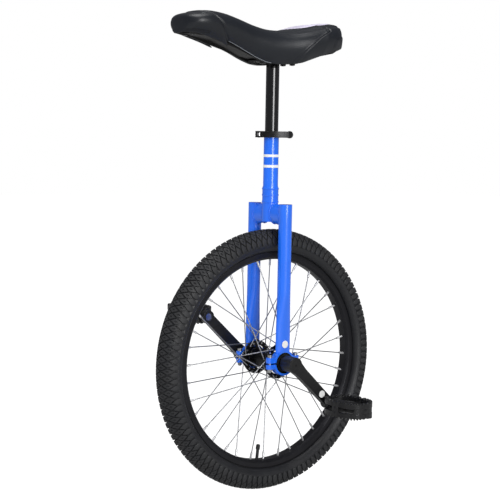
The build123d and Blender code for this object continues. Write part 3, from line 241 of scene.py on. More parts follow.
def grain_group():
    """Pebbled skin: rounded cells with fine noise over them, as a height."""
    tree, given, out = group("pebble_grain", {"Scale": 900.0, "Fine": 0.3}, {"Height": "NodeSocketFloat"})
    place = object_place(tree)
    scale = given.outputs["Scale"]
    cells = add(tree, "ShaderNodeTexVoronoi", Vector=place, Scale=scale, feature="SMOOTH_F1")
    noise = clouds(tree, place, maths(tree, "MULTIPLY", scale, 2.7), 2.0)
    part = maths(tree, "MULTIPLY", noise, given.outputs["Fine"])
    tree.links.new(maths(tree, "SUBTRACT", part, cells.outputs["Distance"]), out.inputs["Height"])
    return tree


def edge_group():
    """Edges: a normal rounded over this radius, and a broken mask where it leaves the flat one, which paints
    lighter edges that stand for wear and a painted highlight.
    """
    outputs = {"Mask": "NodeSocketFloat", "Normal": "NodeSocketVector"}
    inputs = {"Radius": 0.0006, "Wear": 0.5, "Scale": 150.0}
    tree, given, out = group("worn_and_highlit_edge", inputs, outputs)
    bevel = add(tree, "ShaderNodeBevel", samples=6, Radius=given.outputs["Radius"])
    flat = add(tree, "ShaderNodeNewGeometry").outputs["Normal"]
    turn = add(tree, "ShaderNodeVectorMath", operation="DOT_PRODUCT", at0=bevel.outputs[0], at1=flat)
    edge = spread(tree, turn.outputs["Value"], 0.985, 0.86)
    noise = clouds(tree, object_place(tree), given.outputs["Scale"], 5.0)
    broken = spread(tree, noise, 0.42, 0.62)
    # Mask of the lighter edges: edge wear together with a painted highlight along the edges.
    worn = maths(tree, "MULTIPLY", maths(tree, "MULTIPLY", edge, broken), given.outputs["Wear"])
    tree.links.new(worn, out.inputs["Mask"])
    tree.links.new(bevel.outputs[0], out.inputs["Normal"])
    return tree


def dust_group():
    """Dust: more on faces that look up, in soft patches, up to the given amount."""
    tree, given, out = group("dust", {"Amount": 0.3, "Scale": 30.0}, {"Mask": "NodeSocketFloat"})
    normal = add(tree, "ShaderNodeNewGeometry").outputs["Normal"]
    height = add(tree, "ShaderNodeSeparateXYZ", Vector=normal).outputs["Z"]
    noise = clouds(tree, object_place(tree), given.outputs["Scale"], 6.0)
    patch = spread(tree, noise, 0.35, 0.75)
    up = spread(tree, height, -0.4, 1.0, 0.25, 1.0)
    veil = maths(tree, "MULTIPLY", maths(tree, "MULTIPLY", patch, up), given.outputs["Amount"])
    tree.links.new(veil, out.inputs["Mask"])
    return tree


def scuff_group():
    """Fine hair scratches: two stretched noises cut to thin lines."""
    tree, given, out = group("scuffs", {"Scale": 60.0, "Amount": 0.3}, {"Mask": "NodeSocketFloat"})
    place = object_place(tree)
    lines = []
    for turn in (0.5, 2.1):
        mapping = add(tree, "ShaderNodeMapping", Vector=place)
        mapping.inputs["Rotation"].default_value = (turn, turn * 0.7, turn * 1.3)
        mapping.inputs["Scale"].default_value = (1.0, 14.0, 1.0)
        noise = clouds(tree, mapping.outputs[0], given.outputs["Scale"], 3.0)
        lines.append(spread(tree, noise, 0.62, 0.68))
    both = maths(tree, "MAXIMUM", lines[0], lines[1])
    tree.links.new(maths(tree, "MULTIPLY", both, given.outputs["Amount"]), out.inputs["Mask"])
    return tree


MOTTLE = mottle_group()
GRAIN = grain_group()
EDGE = edge_group()
DUST = dust_group()
SCUFF = scuff_group()


def placed(tree, effect, **values):
    """One use of a shared effect, with its own values."""
    made = tree.nodes.new("ShaderNodeGroup")
    made.node_tree = effect
    for key, value in values.items():
        made.inputs[key].default_value = value
    return made


def finish(
    name, base, rough, mottle=(60.0, 0.05), edge=None, grain=None, dust=None, scuff=None, tint=0.06, **shader
):
    """A material. base: colour; rough: roughness; mottle: scale and depth of its roughness patches;
    edge: radius, amount and colour of the lighter edges, which stand for wear and a painted highlight;
    grain: scale and height;
    dust: amount and colour; scuff: amount; tint: colour variation; shader: plain values of the shader's own
    sockets."""
    made = bpy.data.materials.new(name)
    made.use_nodes = True
    tree = made.node_tree
    tree.nodes.clear()
    out = tree.nodes.new("ShaderNodeOutputMaterial")
    skin = tree.nodes.new("ShaderNodeBsdfPrincipled")
    tree.links.new(skin.outputs[0], out.inputs[0])
    for key, value in shader.items():
        skin.inputs[key.replace("_", " ")].default_value = value
    patches = placed(tree, MOTTLE, Scale=mottle[0], Low=rough - mottle[1], High=rough + mottle[1]).outputs[0]
    shade = placed(tree, MOTTLE, Scale=mottle[0] * 0.4, Low=0.0, High=1.0).outputs[0]
    darker = tuple(c * (1 - tint * 3) for c in base[:3]) + (1.0,)
    lighter = tuple(c * (1 + tint * 2) + tint * 0.01 for c in base[:3]) + (1.0,)
    colour = mixed(tree, shade, darker, lighter)
    normal = None
    if edge:
        # Lighter edges in the given edge colour: worn edges and a painted highlight along the edges.
        worn = placed(tree, EDGE, Radius=edge[0], Wear=edge[1])
        colour = mixed(tree, worn.outputs["Mask"], colour, edge[2])
        normal = worn.outputs["Normal"]
    if scuff:
        lines = placed(tree, SCUFF, Amount=scuff).outputs[0]
        patches = maths(tree, "ADD", patches, maths(tree, "MULTIPLY", lines, 0.3))
        colour = mixed(tree, maths(tree, "MULTIPLY", lines, 0.35), colour, lighter)
    if dust:
        veil = placed(tree, DUST, Amount=dust[0]).outputs[0]
        colour = mixed(tree, veil, colour, dust[1])
        patches = maths(tree, "ADD", patches, maths(tree, "MULTIPLY", veil, 0.35))
    if grain:
        height = placed(tree, GRAIN, Scale=grain[0], Fine=0.35).outputs[0]
        bump = add(tree, "ShaderNodeBump", Distance=grain[1], Height=height)
        if normal is not None:
            tree.links.new(normal, bump.inputs["Normal"])
        normal = bump.outputs[0]
    tree.links.new(colour, skin.inputs["Base Color"])
    tree.links.new(patches, skin.inputs["Roughness"])
    if normal is not None:
        tree.links.new(normal, skin.inputs["Normal"])
    return made


# ---------------------------------------------------------------- finishes
GREY_DUST = rgb(120, 116, 110)
# A grey for the lighter edges: bare metal rubbed through, and on the rim also a painted highlight along its
# edges.
EDGE_GREY = rgb(150, 150, 152)
TREAD_RUBBER = finish(
    "tread_rubber", rgb(34, 35, 38), 0.6, (90, 0.08), grain=(1400, 0.00012), dust=(0.1, GREY_DUST)
)
WALL_RUBBER = finish(
    "wall_rubber", rgb(27, 28, 32), 0.46, (45, 0.06), grain=(2200, 0.00006), dust=(0.06, GREY_DUST)
)
TUBE_RUBBER = finish("tube_rubber", rgb(30, 30, 32), 0.55, grain=(1500, 0.00005))
# The rim's lighter edges are worn bare metal together with a painted highlight along the flank edges.
RIM_BLACK = finish(
    "rim_black", rgb(38, 38, 42), 0.4, (70, 0.07), edge=(0.0007, 0.35, EDGE_GREY), scuff=0.25, Metallic=0.6
)
RIM_STRIP = finish("rim_strip", rgb(60, 60, 64), 0.6, grain=(900, 0.00008))
SPOKE_STEEL = finish("spoke_steel", rgb(190, 191, 195), 0.33, (120, 0.08), scuff=0.2, Metallic=1.0)
NIPPLE_SILVER = finish(
    "nipple_silver", rgb(236, 236, 238), 0.3, (200, 0.06), edge=(0.0003, 0.2, EDGE_GREY), Metallic=0.55
)
HUB_BLACK = finish(
    "hub_black", rgb(18, 18, 20), 0.3, (80, 0.07), edge=(0.0006, 0.5, EDGE_GREY), scuff=0.2, Metallic=0.5
)
BEARING_STEEL = finish("bearing_steel", rgb(190, 190, 194), 0.2, (150, 0.05), Metallic=1.0)
BOLT_STEEL = finish(
    "bolt_steel", rgb(205, 205, 205), 0.27, (180, 0.07), edge=(0.0003, 0.3, EDGE_GREY), Metallic=1.0
)
# The crank's lighter edge colour (70, 70, 72) is a painted highlight along its edges, broken like wear.
CRANK_BLACK = finish(
    "crank_black", rgb(20, 20, 21), 0.4, (110, 0.06), edge=(0.0014, 0.25, rgb(70, 70, 72)),
    grain=(1800, 0.00003), scuff=0.3,
)
FRAME_BLUE = finish(
    "frame_blue", rgb(22, 112, 250), 0.38, (35, 0.03), edge=(0.0009, 0.0, EDGE_GREY),
    tint=0.02, Coat_Weight=1.0, Coat_Roughness=0.06,
)
CLAMP_BLACK = finish(
    "clamp_black", rgb(16, 16, 18), 0.28, (90, 0.06), edge=(0.0008, 0.3, EDGE_GREY), scuff=0.15, Metallic=0.3
)
POST_BLACK = finish(
    "post_black", rgb(7, 7, 8), 0.25, (50, 0.01), tint=0.0, Coat_Weight=1.0, Coat_Roughness=0.03
)
PLATE_BLACK = finish("plate_black", rgb(14, 14, 15), 0.4, edge=(0.0006, 0.3, EDGE_GREY), Coat_Weight=0.5)
SEAT_SKIN = finish("seat_skin", rgb(20, 24, 31), 0.42, (28, 0.05), grain=(1050, 0.00009), tint=0.05)
NOSE_SKIN = finish("nose_skin", rgb(20, 23, 29), 0.38, (30, 0.04), grain=(1500, 0.00005), scuff=0.2)
BASE_PLASTIC = finish("base_plastic", rgb(9, 9, 10), 0.5, edge=(0.001, 0.1, EDGE_GREY), grain=(1300, 0.00008))
FOAM = finish("foam", rgb(70, 70, 72), 0.85, grain=(700, 0.0002))
PIPING = finish("piping", rgb(120, 124, 130), 0.45, grain=(2000, 0.00004))
PATCH = finish("patch", rgb(222, 216, 238), 0.38, (60, 0.05), grain=(1050, 0.00008), dust=(0.08, GREY_DUST))
# The pedal's lighter edge colour (90, 90, 92) is a painted highlight along its edges, broken like wear.
PEDAL_PLASTIC = finish(
    "pedal_plastic", rgb(20, 20, 22), 0.34, (70, 0.07), edge=(0.0007, 0.15, rgb(90, 90, 92)),
    grain=(1500, 0.00005), scuff=0.3,
)
NYLON = finish("nylon", rgb(205, 200, 185), 0.45, grain=(1500, 0.00003))
STICKER = finish("sticker", rgb(242, 242, 240), 0.4, (80, 0.05), dust=(0.05, GREY_DUST), tint=0.01)
CAP_RUBBER = finish("cap_rubber", rgb(18, 18, 19), 0.5, grain=(1500, 0.00005))

DRESS = {
    RIM_STRIP: ["rim_tape"],
    TUBE_RUBBER: ["inner_tube", "valve_stem"],
    SPOKE_STEEL: ["spokes"],
    NIPPLE_SILVER: ["spoke_nipples"],
    HUB_BLACK: ["hub_shell", "bearing_outer_races"],
    BEARING_STEEL: [
        "axle", "bearing_inner_races", "bearing_balls", "pedal_spindle_left",
        "pedal_spindle_right", "lever_pin",
    ],
    CAP_RUBBER: ["bearing_shields", "dust_caps", "pedal_end_cap_left", "pedal_end_cap_right"],
    CRANK_BLACK: ["crank_left", "crank_right"],
    BOLT_STEEL: [
        "crank_bolts", "cap_bolts", "cap_nuts", "pedal_locknuts", "clamp_skewer", "clamp_nut",
    ],
    FRAME_BLUE: [
        f"{part}_{side}" for side in ("left", "right")
        for part in ("fork_leg", "leg_cap", "crown_stub", "bearing_holder", "bearing_cap")
    ] + ["seat_tube"],
    CLAMP_BLACK: ["clamp_collar", "cam_seat", "clamp_lever"],
    POST_BLACK: ["seat_post"],
    PLATE_BLACK: ["post_plate", "saddle_bolts", "saddle_washers", "saddle_nuts", "bumper_screws"],
    BASE_PLASTIC: ["saddle_base"],
    NYLON: ["pedal_bushings_left", "pedal_bushings_right"],
    PEDAL_PLASTIC: ["pedal_body_left", "pedal_body_right"],
    STICKER: ["leg_stickers", "crank_stickers"],
}
for skin, nodes in DRESS.items():
    for node in nodes:
        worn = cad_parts[node]
        for place in worn.material_slots:
            place.material = skin

# ---------------------------------------------------------------- tyre
TREAD_ROWS = 116
COLUMN = math.radians(31)
TREAD_EDGE = math.radians(90), math.radians(107)
TREAD_DEPTH = 2.6 * MM
WALL_SINK = 0.4 * MM
WALL_THICKNESS = 3.0 * MM
BEAD_HALF = 11.75 * MM
BEAD_RADIUS = 204.5 * MM
WALL_END = 210.1 * MM


def groove_depth(lean):
    """How far the carcass lies under the blocks' tops at this angle across the section."""
    return WALL_SINK + TREAD_DEPTH * (1 - step(*TREAD_EDGE, np.abs(lean)))


def on_tyre(turn, lean, share):
    """A point on the tread: share 1 is a block's top, 0 the carcass between the blocks."""
    rho = TYRE_HALF - groove_depth(lean) * (1 - share)
    radius = SECTION_RADIUS + rho * np.cos(lean)
    return np.stack([radius * np.cos(turn), rho * np.sin(lean), AXLE_Z + radius * np.sin(turn)], axis=-1)


def tyre_carcass():
    """A circle over the crown, a part of an ellipse down each wall, straight beads, and the same inside."""
    lean = np.radians(np.linspace(-90, 90, 61))
    rho = TYRE_HALF - groove_depth(lean)
    crown = np.stack([rho * np.sin(lean), SECTION_RADIUS + rho * np.cos(lean)], axis=-1)
    down = np.radians(np.linspace(92, 176, 26))
    middle = BEAD_HALF - 0.75 * MM
    bulge = TYRE_HALF - WALL_SINK - middle
    ribs = 0.22 * MM * np.exp(-((np.degrees(down)[:, None] - [128, 150, 158, 166]) / 1.6) ** 2).sum(axis=1)
    ribs = ribs - (groove_depth(down) - WALL_SINK)
    wall = np.stack([
        middle + (bulge + ribs) * np.sin(down),
        SECTION_RADIUS + (SECTION_RADIUS - WALL_END + ribs) * np.cos(down),
    ], axis=-1)
    bead = np.array([[BEAD_HALF, BEAD_RADIUS], [BEAD_HALF - WALL_THICKNESS, BEAD_RADIUS]])
    inner_lean = np.radians(np.linspace(100, -100, 25))
    inner_rho = TYRE_HALF - WALL_THICKNESS - TREAD_DEPTH
    inner_radius = SECTION_RADIUS + inner_rho * np.cos(inner_lean)
    inner = np.stack([inner_rho * np.sin(inner_lean), inner_radius], axis=-1)
    left = wall[::-1] * [-1, 1]
    outline = np.concatenate([left, crown, wall, bead, inner, bead[::-1] * [-1, 1]])
    points = turned(outline[:, 0], outline[:, 1], 2 * TREAD_ROWS)
    faces = grid_faces(*points.shape[:2], wrap_rows=True, wrap_columns=True)
    return piece("tyre_carcass", points, faces, "wheel", WALL_RUBBER)


def tread_blocks(name, outline, centre, rings, columns, phases, turned_out):
    """Copies of one block: its outline shrunk towards its centre ring by ring, each ring at its own share of
    the tread's height, bent onto the tread at each column and each step around the wheel."""
    outline, centre, rings = np.asarray(outline, float), np.asarray(centre, float), np.asarray(rings, float)
    shape = centre + rings[:, 0, None, None] * (outline - centre)
    pitch = 2 * np.pi / TREAD_ROWS
    steps = np.arange(TREAD_ROWS)[:, None, None, None]
    columns = np.asarray(columns)[None, :, None, None]
    phases = np.asarray(phases)[None, :, None, None]
    flip = np.sign(columns) if turned_out else np.ones_like(columns)
    turn = (steps + phases + shape[None, None, :, :, 1] / 2) * pitch
    lean = (columns + flip * shape[None, None, :, :, 0]) * COLUMN
    share = np.broadcast_to(rings[None, None, :, 1, None], lean.shape)
    points = on_tyre(turn, np.broadcast_to(lean, turn.shape), np.broadcast_to(share, turn.shape))
    copies = points.shape[0] * points.shape[1]
    count, sides = len(rings), len(outline)
    quads = grid_faces(count, sides, wrap_columns=True)
    starts = (np.arange(copies) * count * sides)[:, None, None]
    faces = (starts + quads[None]).reshape(-1, 4).tolist()
    floor = (starts[:, 0] + np.arange(sides)[None]).tolist()
    lid = (starts[:, 0] + (count - 1) * sides + np.arange(sides)[None]).tolist()
    return piece(name, points, faces + floor + lid, "wheel", TREAD_RUBBER, sharp=50)


def tyre():
    """The tyre: carcass, four columns of dimpled diamonds, and a row of shoulder blocks on each side."""
    carcass = tyre_carcass()
    diamond = [
        (0.94, 0), (0.5, 0.5), (0, 0.96), (-0.5, 0.5), (-0.94, 0), (-0.5, -0.5), (0, -0.96), (0.5, -0.5),
    ]
    rings = [(0.88, -0.15), (0.84, 0.75), (0.77, 1.0), (0.3, 1.0), (0.16, 0.45)]
    middle = tread_blocks(
        "tread_diamonds", diamond, (0, 0), rings, (-1.5, -0.5, 0.5, 1.5), (0.5, 0.0, 0.5, 0.0), False
    )
    shoulder = [
        (-0.92, 0), (-0.5, 0.47), (-0.08, 0.9), (0.5, 0.82), (0.8, 0.45),
        (0.8, -0.45), (0.5, -0.82), (-0.08, -0.9), (-0.5, -0.47),
    ]
    rings = [(0.93, -0.3), (0.88, 0.8), (0.8, 1.0), (0.42, 1.0)]
    edges = tread_blocks("tread_shoulders", shoulder, (0.05, 0), rings, (-2.5, 2.5), (0.0, 0.5), True)
    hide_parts("tyre")
    for blocks in (middle, edges):
        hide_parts("tyre")


# ---------------------------------------------------------------- rim and valve
RIM_DEPTH = 14.5 * MM
RIM_WALL = 2 * MM
RIM_CHAMFER = 5 * MM
RIM_LEDGE = 8 * MM
RIM_EDGE = 0.9 * MM


def rim():
    """The rim: a flat flank and a chamfer each side, with rounded edges, turned around the axle."""
    high = (RIM_HIGH[0] - RIM_LOW[0]) / 2
    low = high - RIM_DEPTH
    half = (RIM_HIGH[1] - RIM_LOW[1]) / 2
    right = [(half, high), (half, low + RIM_CHAMFER), (half - RIM_CHAMFER, low)]
    channel = [
        (half - RIM_CHAMFER - RIM_WALL, low + RIM_WALL), (half - RIM_CHAMFER, low + RIM_LEDGE),
        (half - RIM_WALL, low + RIM_LEDGE), (half - RIM_WALL, high),
    ]
    corners = right + [(-y, r) for y, r in reversed(right)]
    corners += [(-y, r) for y, r in reversed(channel)] + channel
    outline = rounded(corners, RIM_EDGE)
    points = turned(outline[:, 0], outline[:, 1], 288)
    faces = grid_faces(*points.shape[:2], wrap_rows=True, wrap_columns=True)
    made = piece("rim_hoop", points, faces, "wheel", RIM_BLACK, sharp=60)
    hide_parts("rim")


def valve_cap():
    """A ribbed cap: a turned outline whose radius swings with 14 ribs, along the valve's line."""
    low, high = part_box("valve_cap")
    middle = (np.array(low) + np.array(high)) / 2
    inwards = np.array([0, 0, AXLE_Z]) - middle
    inwards[1] = 0
    inwards /= np.linalg.norm(inwards)
    across = np.cross(inwards, [0, 1, 0])
    reach = 5.0 * MM
    along = np.array([-1, -0.9, 0.55, 0.7, 0.92, 1.0]) * reach
    radius = np.array([3.9, 4.0, 4.0, 3.5, 2.9, 1.4]) * MM
    ribbed = np.array([0, 1, 1, 0, 0, 0])
    turn = np.linspace(0, 2 * np.pi, 84, endpoint=False)[:, None]
    r = radius * (1 - 0.07 * ribbed * (0.5 + 0.5 * np.cos(14 * turn)))
    ring = np.cos(turn)[..., None] * across + np.sin(turn)[..., None] * np.array([0, 1, 0])
    points = (middle + along[None, :, None] * inwards + r[..., None] * ring).transpose(1, 0, 2)
    made = piece("valve_cap_ribbed", points, capped(*points.shape[:2]), "wheel", CAP_RUBBER)
    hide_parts("valve_cap")


# ---------------------------------------------------------------- pedals, in millimetres
PEDAL_POWER = 2.7
PEDAL_EDGE = 0.8
CAGE_DEPTH = 6.0
CAGE_HALF = 13.5
RAIL_LOW = 4.6
TOOTH_HEIGHT = 3.0
TEETH = 34
POST_INSET = 0.4
BARREL = 11.0
CAP_BORE = 8.85
CAP_BORE_DEPTH = 12.0
SPINDLE_BORE = 6.62
WEB_HALF_THICK = 2.6
WEB_HALF_TALL = 8.0
WEB_END = 9.5


def cage_bar(turn, half_x, half_y, low, high):
    """A bar that follows the cage's superellipse outline, between two heights at each angle."""
    e, d = PEDAL_EDGE, CAGE_DEPTH
    depth = np.array([e, 0, 0, e, d - e, d, d, d - e])
    from_top = np.array([0, 0, 1, 1, 1, 1, 0, 0])
    inset = np.array([0, e, -e, 0, 0, -e, e, 0])
    low = np.broadcast_to(low, turn.shape)[:, None]
    high = np.broadcast_to(high, turn.shape)[:, None]
    z = np.where(from_top, high, low) + inset
    cos, sin = np.cos(turn)[:, None], np.sin(turn)[:, None]
    x = np.sign(cos) * np.abs(cos) ** (2 / PEDAL_POWER) * (half_x - depth)
    y = np.sign(sin) * np.abs(sin) ** (2 / PEDAL_POWER) * (half_y - depth)
    return np.stack([x, y, z], axis=-1)


def pedal(side, sign):
    """A platform pedal: two toothed rails around an oval, posts between them, a cross web and the barrel
    that the spindle turns in. The rails' height swings with a tanh of a sine, which makes flat teeth."""
    low, high = np.array(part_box(f"pedal_body_{side}"))
    middle = (low + high) / 2
    half_x, half_y, _ = (high - low) / 2 / MM
    full = np.linspace(0, 2 * np.pi, 680, endpoint=False)
    tooth = 0.5 + 0.5 * np.tanh(3.5 * np.sin(TEETH * full))
    crest = CAGE_HALF + TOOTH_HEIGHT * tooth * (1 - 0.45 * np.sin(full) ** 8)
    shells, faces, count = [], [], 0
    rails = [
        cage_bar(full, half_x, half_y, RAIL_LOW, crest), cage_bar(full, half_x, half_y, -crest, -RAIL_LOW),
    ]
    posts = []
    for at, spread_out in ((0, 0.1), (np.pi, 0.1), (np.pi / 2, 0.62), (-np.pi / 2, 0.62)):
        arc = np.linspace(at - spread_out, at + spread_out, 24)
        posts.append(cage_bar(arc, half_x - POST_INSET, half_y - POST_INSET, -RAIL_LOW - 1, RAIL_LOW + 1))
    barrel_y = half_y - 1
    cap_y = barrel_y - CAP_BORE_DEPTH
    outline = sign * np.array([-barrel_y, barrel_y, barrel_y, cap_y, cap_y, -barrel_y])
    radius = np.array([BARREL, BARREL, CAP_BORE, CAP_BORE, SPINDLE_BORE, SPINDLE_BORE])
    around = np.linspace(0, 2 * np.pi, 72, endpoint=False)[:, None]
    barrel = np.stack([radius * np.cos(around), outline + 0 * around, radius * np.sin(around)], axis=-1)
    web_x, y, z = half_x - CAGE_DEPTH + 1, WEB_HALF_THICK, WEB_HALF_TALL
    corner = rounded([(y, z), (y, -z), (-y, -z), (-y, z)], 1.2)
    webs = []
    for ends in ((-web_x, -WEB_END), (WEB_END, web_x)):
        webs.append(np.stack([np.column_stack([np.full(len(corner), x), corner]) for x in ends]))
    for shell, closed in [(s, True) for s in rails + [barrel]] + [(s, False) for s in posts + webs]:
        rows, columns = shell.shape[:2]
        own = grid_faces(rows, columns, True, True).tolist() if closed else capped(rows, columns)
        faces += [[count + corner_index for corner_index in face] for face in own]
        shells.append(shell.reshape(-1, 3))
        count += rows * columns
    points = np.concatenate(shells) * MM + middle
    name, body = f"pedal_cage_{side}", f"pedal_{side}"
    made = piece(name, points, faces, body, PEDAL_PLASTIC, sharp=45)
    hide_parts(f"pedal_body_{side}")


# ---------------------------------------------------------------- crown details
STUB_HALF_WIDTH = 11 * MM
STUB_HALF_HEIGHT = 19 * MM
STUB_MIDDLE = LEG_TOP - 1 * MM - STUB_HALF_HEIGHT
STUB_DROP = 6 * MM
BEAD_RADIUS_WELD = 1.5 * MM
RIPPLE_PITCH = 2.2 * MM


def weld(name, path):
    """A weld bead: a closed round bar whose radius ripples along its length."""
    gaps = np.linalg.norm(np.roll(path, -1, axis=0) - path, axis=1)
    travelled = np.concatenate([[0], np.cumsum(gaps)[:-1]])
    ripples = np.round(gaps.sum() / RIPPLE_PITCH)
    radius = BEAD_RADIUS_WELD * (1 + 0.14 * np.cos(2 * np.pi * ripples * travelled / gaps.sum()))
    points = cord_round(path, radius, 10, closed=True)
    faces = grid_faces(*points.shape[:2], wrap_rows=True, wrap_columns=True)
    return piece(name, points, faces, "frame", FRAME_BLUE)


def crown_welds():
    """Beads where each oval stub meets the seat tube and its leg, worked out as where the surfaces cross."""
    turn = np.linspace(0, 2 * np.pi, 180, endpoint=False)
    x = STUB_HALF_WIDTH * np.cos(turn)
    rise = STUB_HALF_HEIGHT * np.sin(turn)
    for side, name in ((1, "left"), (-1, "right")):
        ends = {
            "tube": np.sqrt((TUBE_RADIUS + 0.2 * MM) ** 2 - x ** 2),
            "leg": LEG_Y - np.sqrt((LEG_RADIUS + 0.2 * MM) ** 2 - x ** 2),
        }
        for end, y in ends.items():
            z = STUB_MIDDLE + STUB_DROP / 2 + rise - STUB_DROP * y / LEG_Y
            weld(f"weld_{end}_{name}", np.stack([x, side * y, z], axis=-1))


TUBE_RING_Z = (558 * MM, 571 * MM, 583 * MM)
TUBE_RING_RISE = 0.6 * MM
TUBE_RING_HALF = 2.0 * MM
WHITE_BAND_Z = (626 * MM, 646 * MM)
WHITE_BAND_HALF = 2.5 * MM
WHITE_BAND_RADIUS = 14.3 * MM
WHITE_BAND_RISE = 0.25 * MM
WHITE_BAND_SINK = 0.2 * MM


def tube_rings():
    """Three low rolled rings around the thick foot of the seat tube: ovals turned about the tube's axis."""
    turn = np.linspace(0, 2 * np.pi, 12, endpoint=False)
    for index, z in enumerate(TUBE_RING_Z):
        radius = TUBE_RADIUS + 0.1 * MM + TUBE_RING_RISE * np.cos(turn)
        height = z + TUBE_RING_HALF * np.sin(turn)
        points = upright(radius, height, 96)
        faces = grid_faces(*points.shape[:2], wrap_rows=True, wrap_columns=True)
        piece(f"tube_ring_{index + 1}", points, faces, "frame", FRAME_BLUE)


def tube_bands():
    """Two plain white bands around the seat tube: thin rectangles turned about the tube's axis."""
    inner, outer = WHITE_BAND_RADIUS - WHITE_BAND_SINK, WHITE_BAND_RADIUS + WHITE_BAND_RISE
    for index, z in enumerate(WHITE_BAND_Z):
        low, high = z - WHITE_BAND_HALF, z + WHITE_BAND_HALF
        outline = np.array([(inner, low), (outer, low), (outer, high), (inner, high)])
        points = upright(outline[:, 0], outline[:, 1], 96)
        faces = grid_faces(*points.shape[:2], wrap_rows=True, wrap_columns=True)
        piece(f"white_band_{index + 1}", points, faces, "frame", STICKER)


# ---------------------------------------------------------------- seat post
POST_WALL = 2.2 * MM
POST_EDGE = 0.7 * MM


def seat_post():
    """The post: a plain tube with a rounded edge at each end, turned about the upright axis."""
    low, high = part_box("seat_post")
    radius = (high[0] - low[0]) / 2
    bore = radius - POST_WALL
    corners = [(radius, low[2]), (radius, high[2]), (bore, high[2]), (bore, low[2])]
    outline = rounded(corners, POST_EDGE)
    points = upright(outline[:, 0], outline[:, 1], 128)
    faces = grid_faces(*points.shape[:2], wrap_rows=True, wrap_columns=True)
    made = piece("seat_post_tube", points, faces, "seat", POST_BLACK, sharp=60)
    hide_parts("seat_post")


# ---------------------------------------------------------------- saddle
# Along X, in millimetres: half widths of the top and the hem, then crown and hem above the base's floor.
COVER_X = (-70, -35, 0, 35, 70, 105, 140, 176, 192, 206)
COVER_HALF = (80, 74, 62, 53, 48, 47, 48, 47, 45, 37)
COVER_FOOT = (60, 53, 40, 30, 28, 28, 29, 29, 28, 24)
COVER_CROWN = (68, 59, 53, 53.5, 60, 69.5, 77, 78.5, 75.5, 62)
HEM_X = (-141, -114, -87, -50, -30, -5, 36, 54, 82, 106, 132, 160, 180, 206)
HEM_Z = (31, 21, 13, 1, -7, -10.5, -9.5, -4.5, 6.5, 16.5, 25.5, 31, 36, 42)
TAIL_START, TAIL_END = -70.0, -134.0
TAIL_POWER = 2.6
SECTION_POWERS = (2.6, 5.8)
TAPER_TOP = 0.6
SHELL = 1.6
FOAM_FRONT = 170
FOAM_GAP = 2.6


def section_curve(count):
    """Half of a superellipse over the saddle, evenly spaced from the left hem to the right."""
    across, up = SECTION_POWERS
    y = 1 - np.linspace(0, 1, 600) ** 2
    z = (1 - y ** across) ** (1 / up)
    y, z = np.concatenate([y, -y[-2::-1]]), np.concatenate([z, z[-2::-1]])
    run = np.concatenate([[0], np.cumsum(np.hypot(np.diff(y), np.diff(z) * 0.8))])
    wanted = np.linspace(0, run[-1], count)
    return np.interp(wanted, run, y), np.interp(wanted, run, z)


def tail_fade(x):
    """1 up to the tail's start, then a superellipse that closes at the tail's end."""
    t = np.clip((TAIL_START - x) / (TAIL_START - TAIL_END), 0, 1)
    return (1 - t ** TAIL_POWER) ** (1 / TAIL_POWER)


def drawn_in(foot, z_share):
    """How much of its full width a section keeps: its foot's share at the hem, and all of it higher up."""
    return 1 - (1 - foot) * (1 - np.clip(z_share / TAPER_TOP, 0, 1)) ** 2


def saddle_sizes(x):
    """Half width, lowest and highest height of the cover at x, in millimetres above the floor."""
    fade = tail_fade(x)
    ahead = np.maximum(x, TAIL_START)
    half = smooth(COVER_X, COVER_HALF, ahead) * fade
    crown = smooth(COVER_X, COVER_CROWN, ahead) + 5 * step(TAIL_START, -110, x)
    hem = smooth(HEM_X, HEM_Z, x)
    middle = hem + 0.5 * (crown - hem)
    shut = fade ** 0.16
    return half, middle + (hem - middle) * shut, middle + (crown - middle) * shut


def foot_share(x):
    """The hem's width as a share of the widest width at x."""
    ahead = np.maximum(x, TAIL_START)
    share = smooth(COVER_X, COVER_FOOT, ahead) / smooth(COVER_X, COVER_HALF, ahead)
    return share + (0.96 - share) * step(-75, -128, x)


def saddle_surface(x, y_share, z_share, out=0.0):
    """Points of the cover at x and a place on its section, moved out along the section by a distance."""
    half, low, high = saddle_sizes(x)
    y = (half * drawn_in(foot_share(x), z_share) + out) * y_share
    z = low + (high + out - low) * z_share
    return np.stack([x + 0 * y, y, z + FLOOR_TOP / MM], axis=-1) * MM


def seam_line(distance, width, depth):
    """A sewn seam's profile: a narrow groove with a low roll of material on each side."""
    groove = -depth * np.exp(-(distance / width) ** 2)
    roll = 0.45 * depth * np.exp(-((np.abs(distance) - 2.4 * width) / (1.3 * width)) ** 2)
    return groove + roll


SIDE_SEAM_Z = (825, 842, 854, 870, 883)
SIDE_SEAM_X = (-16, -26, -37, -56, -79)
SHOULDER_X = (-141, -100, -40, 30, 60)
SHOULDER_SHARE = (0.84, 0.86, 0.9, 0.93, 0.95)
PANEL_SINK = 0.8
NOSE_GAP_DEPTH = 1.6
NOSE_GAP_WIDTH = 2.4


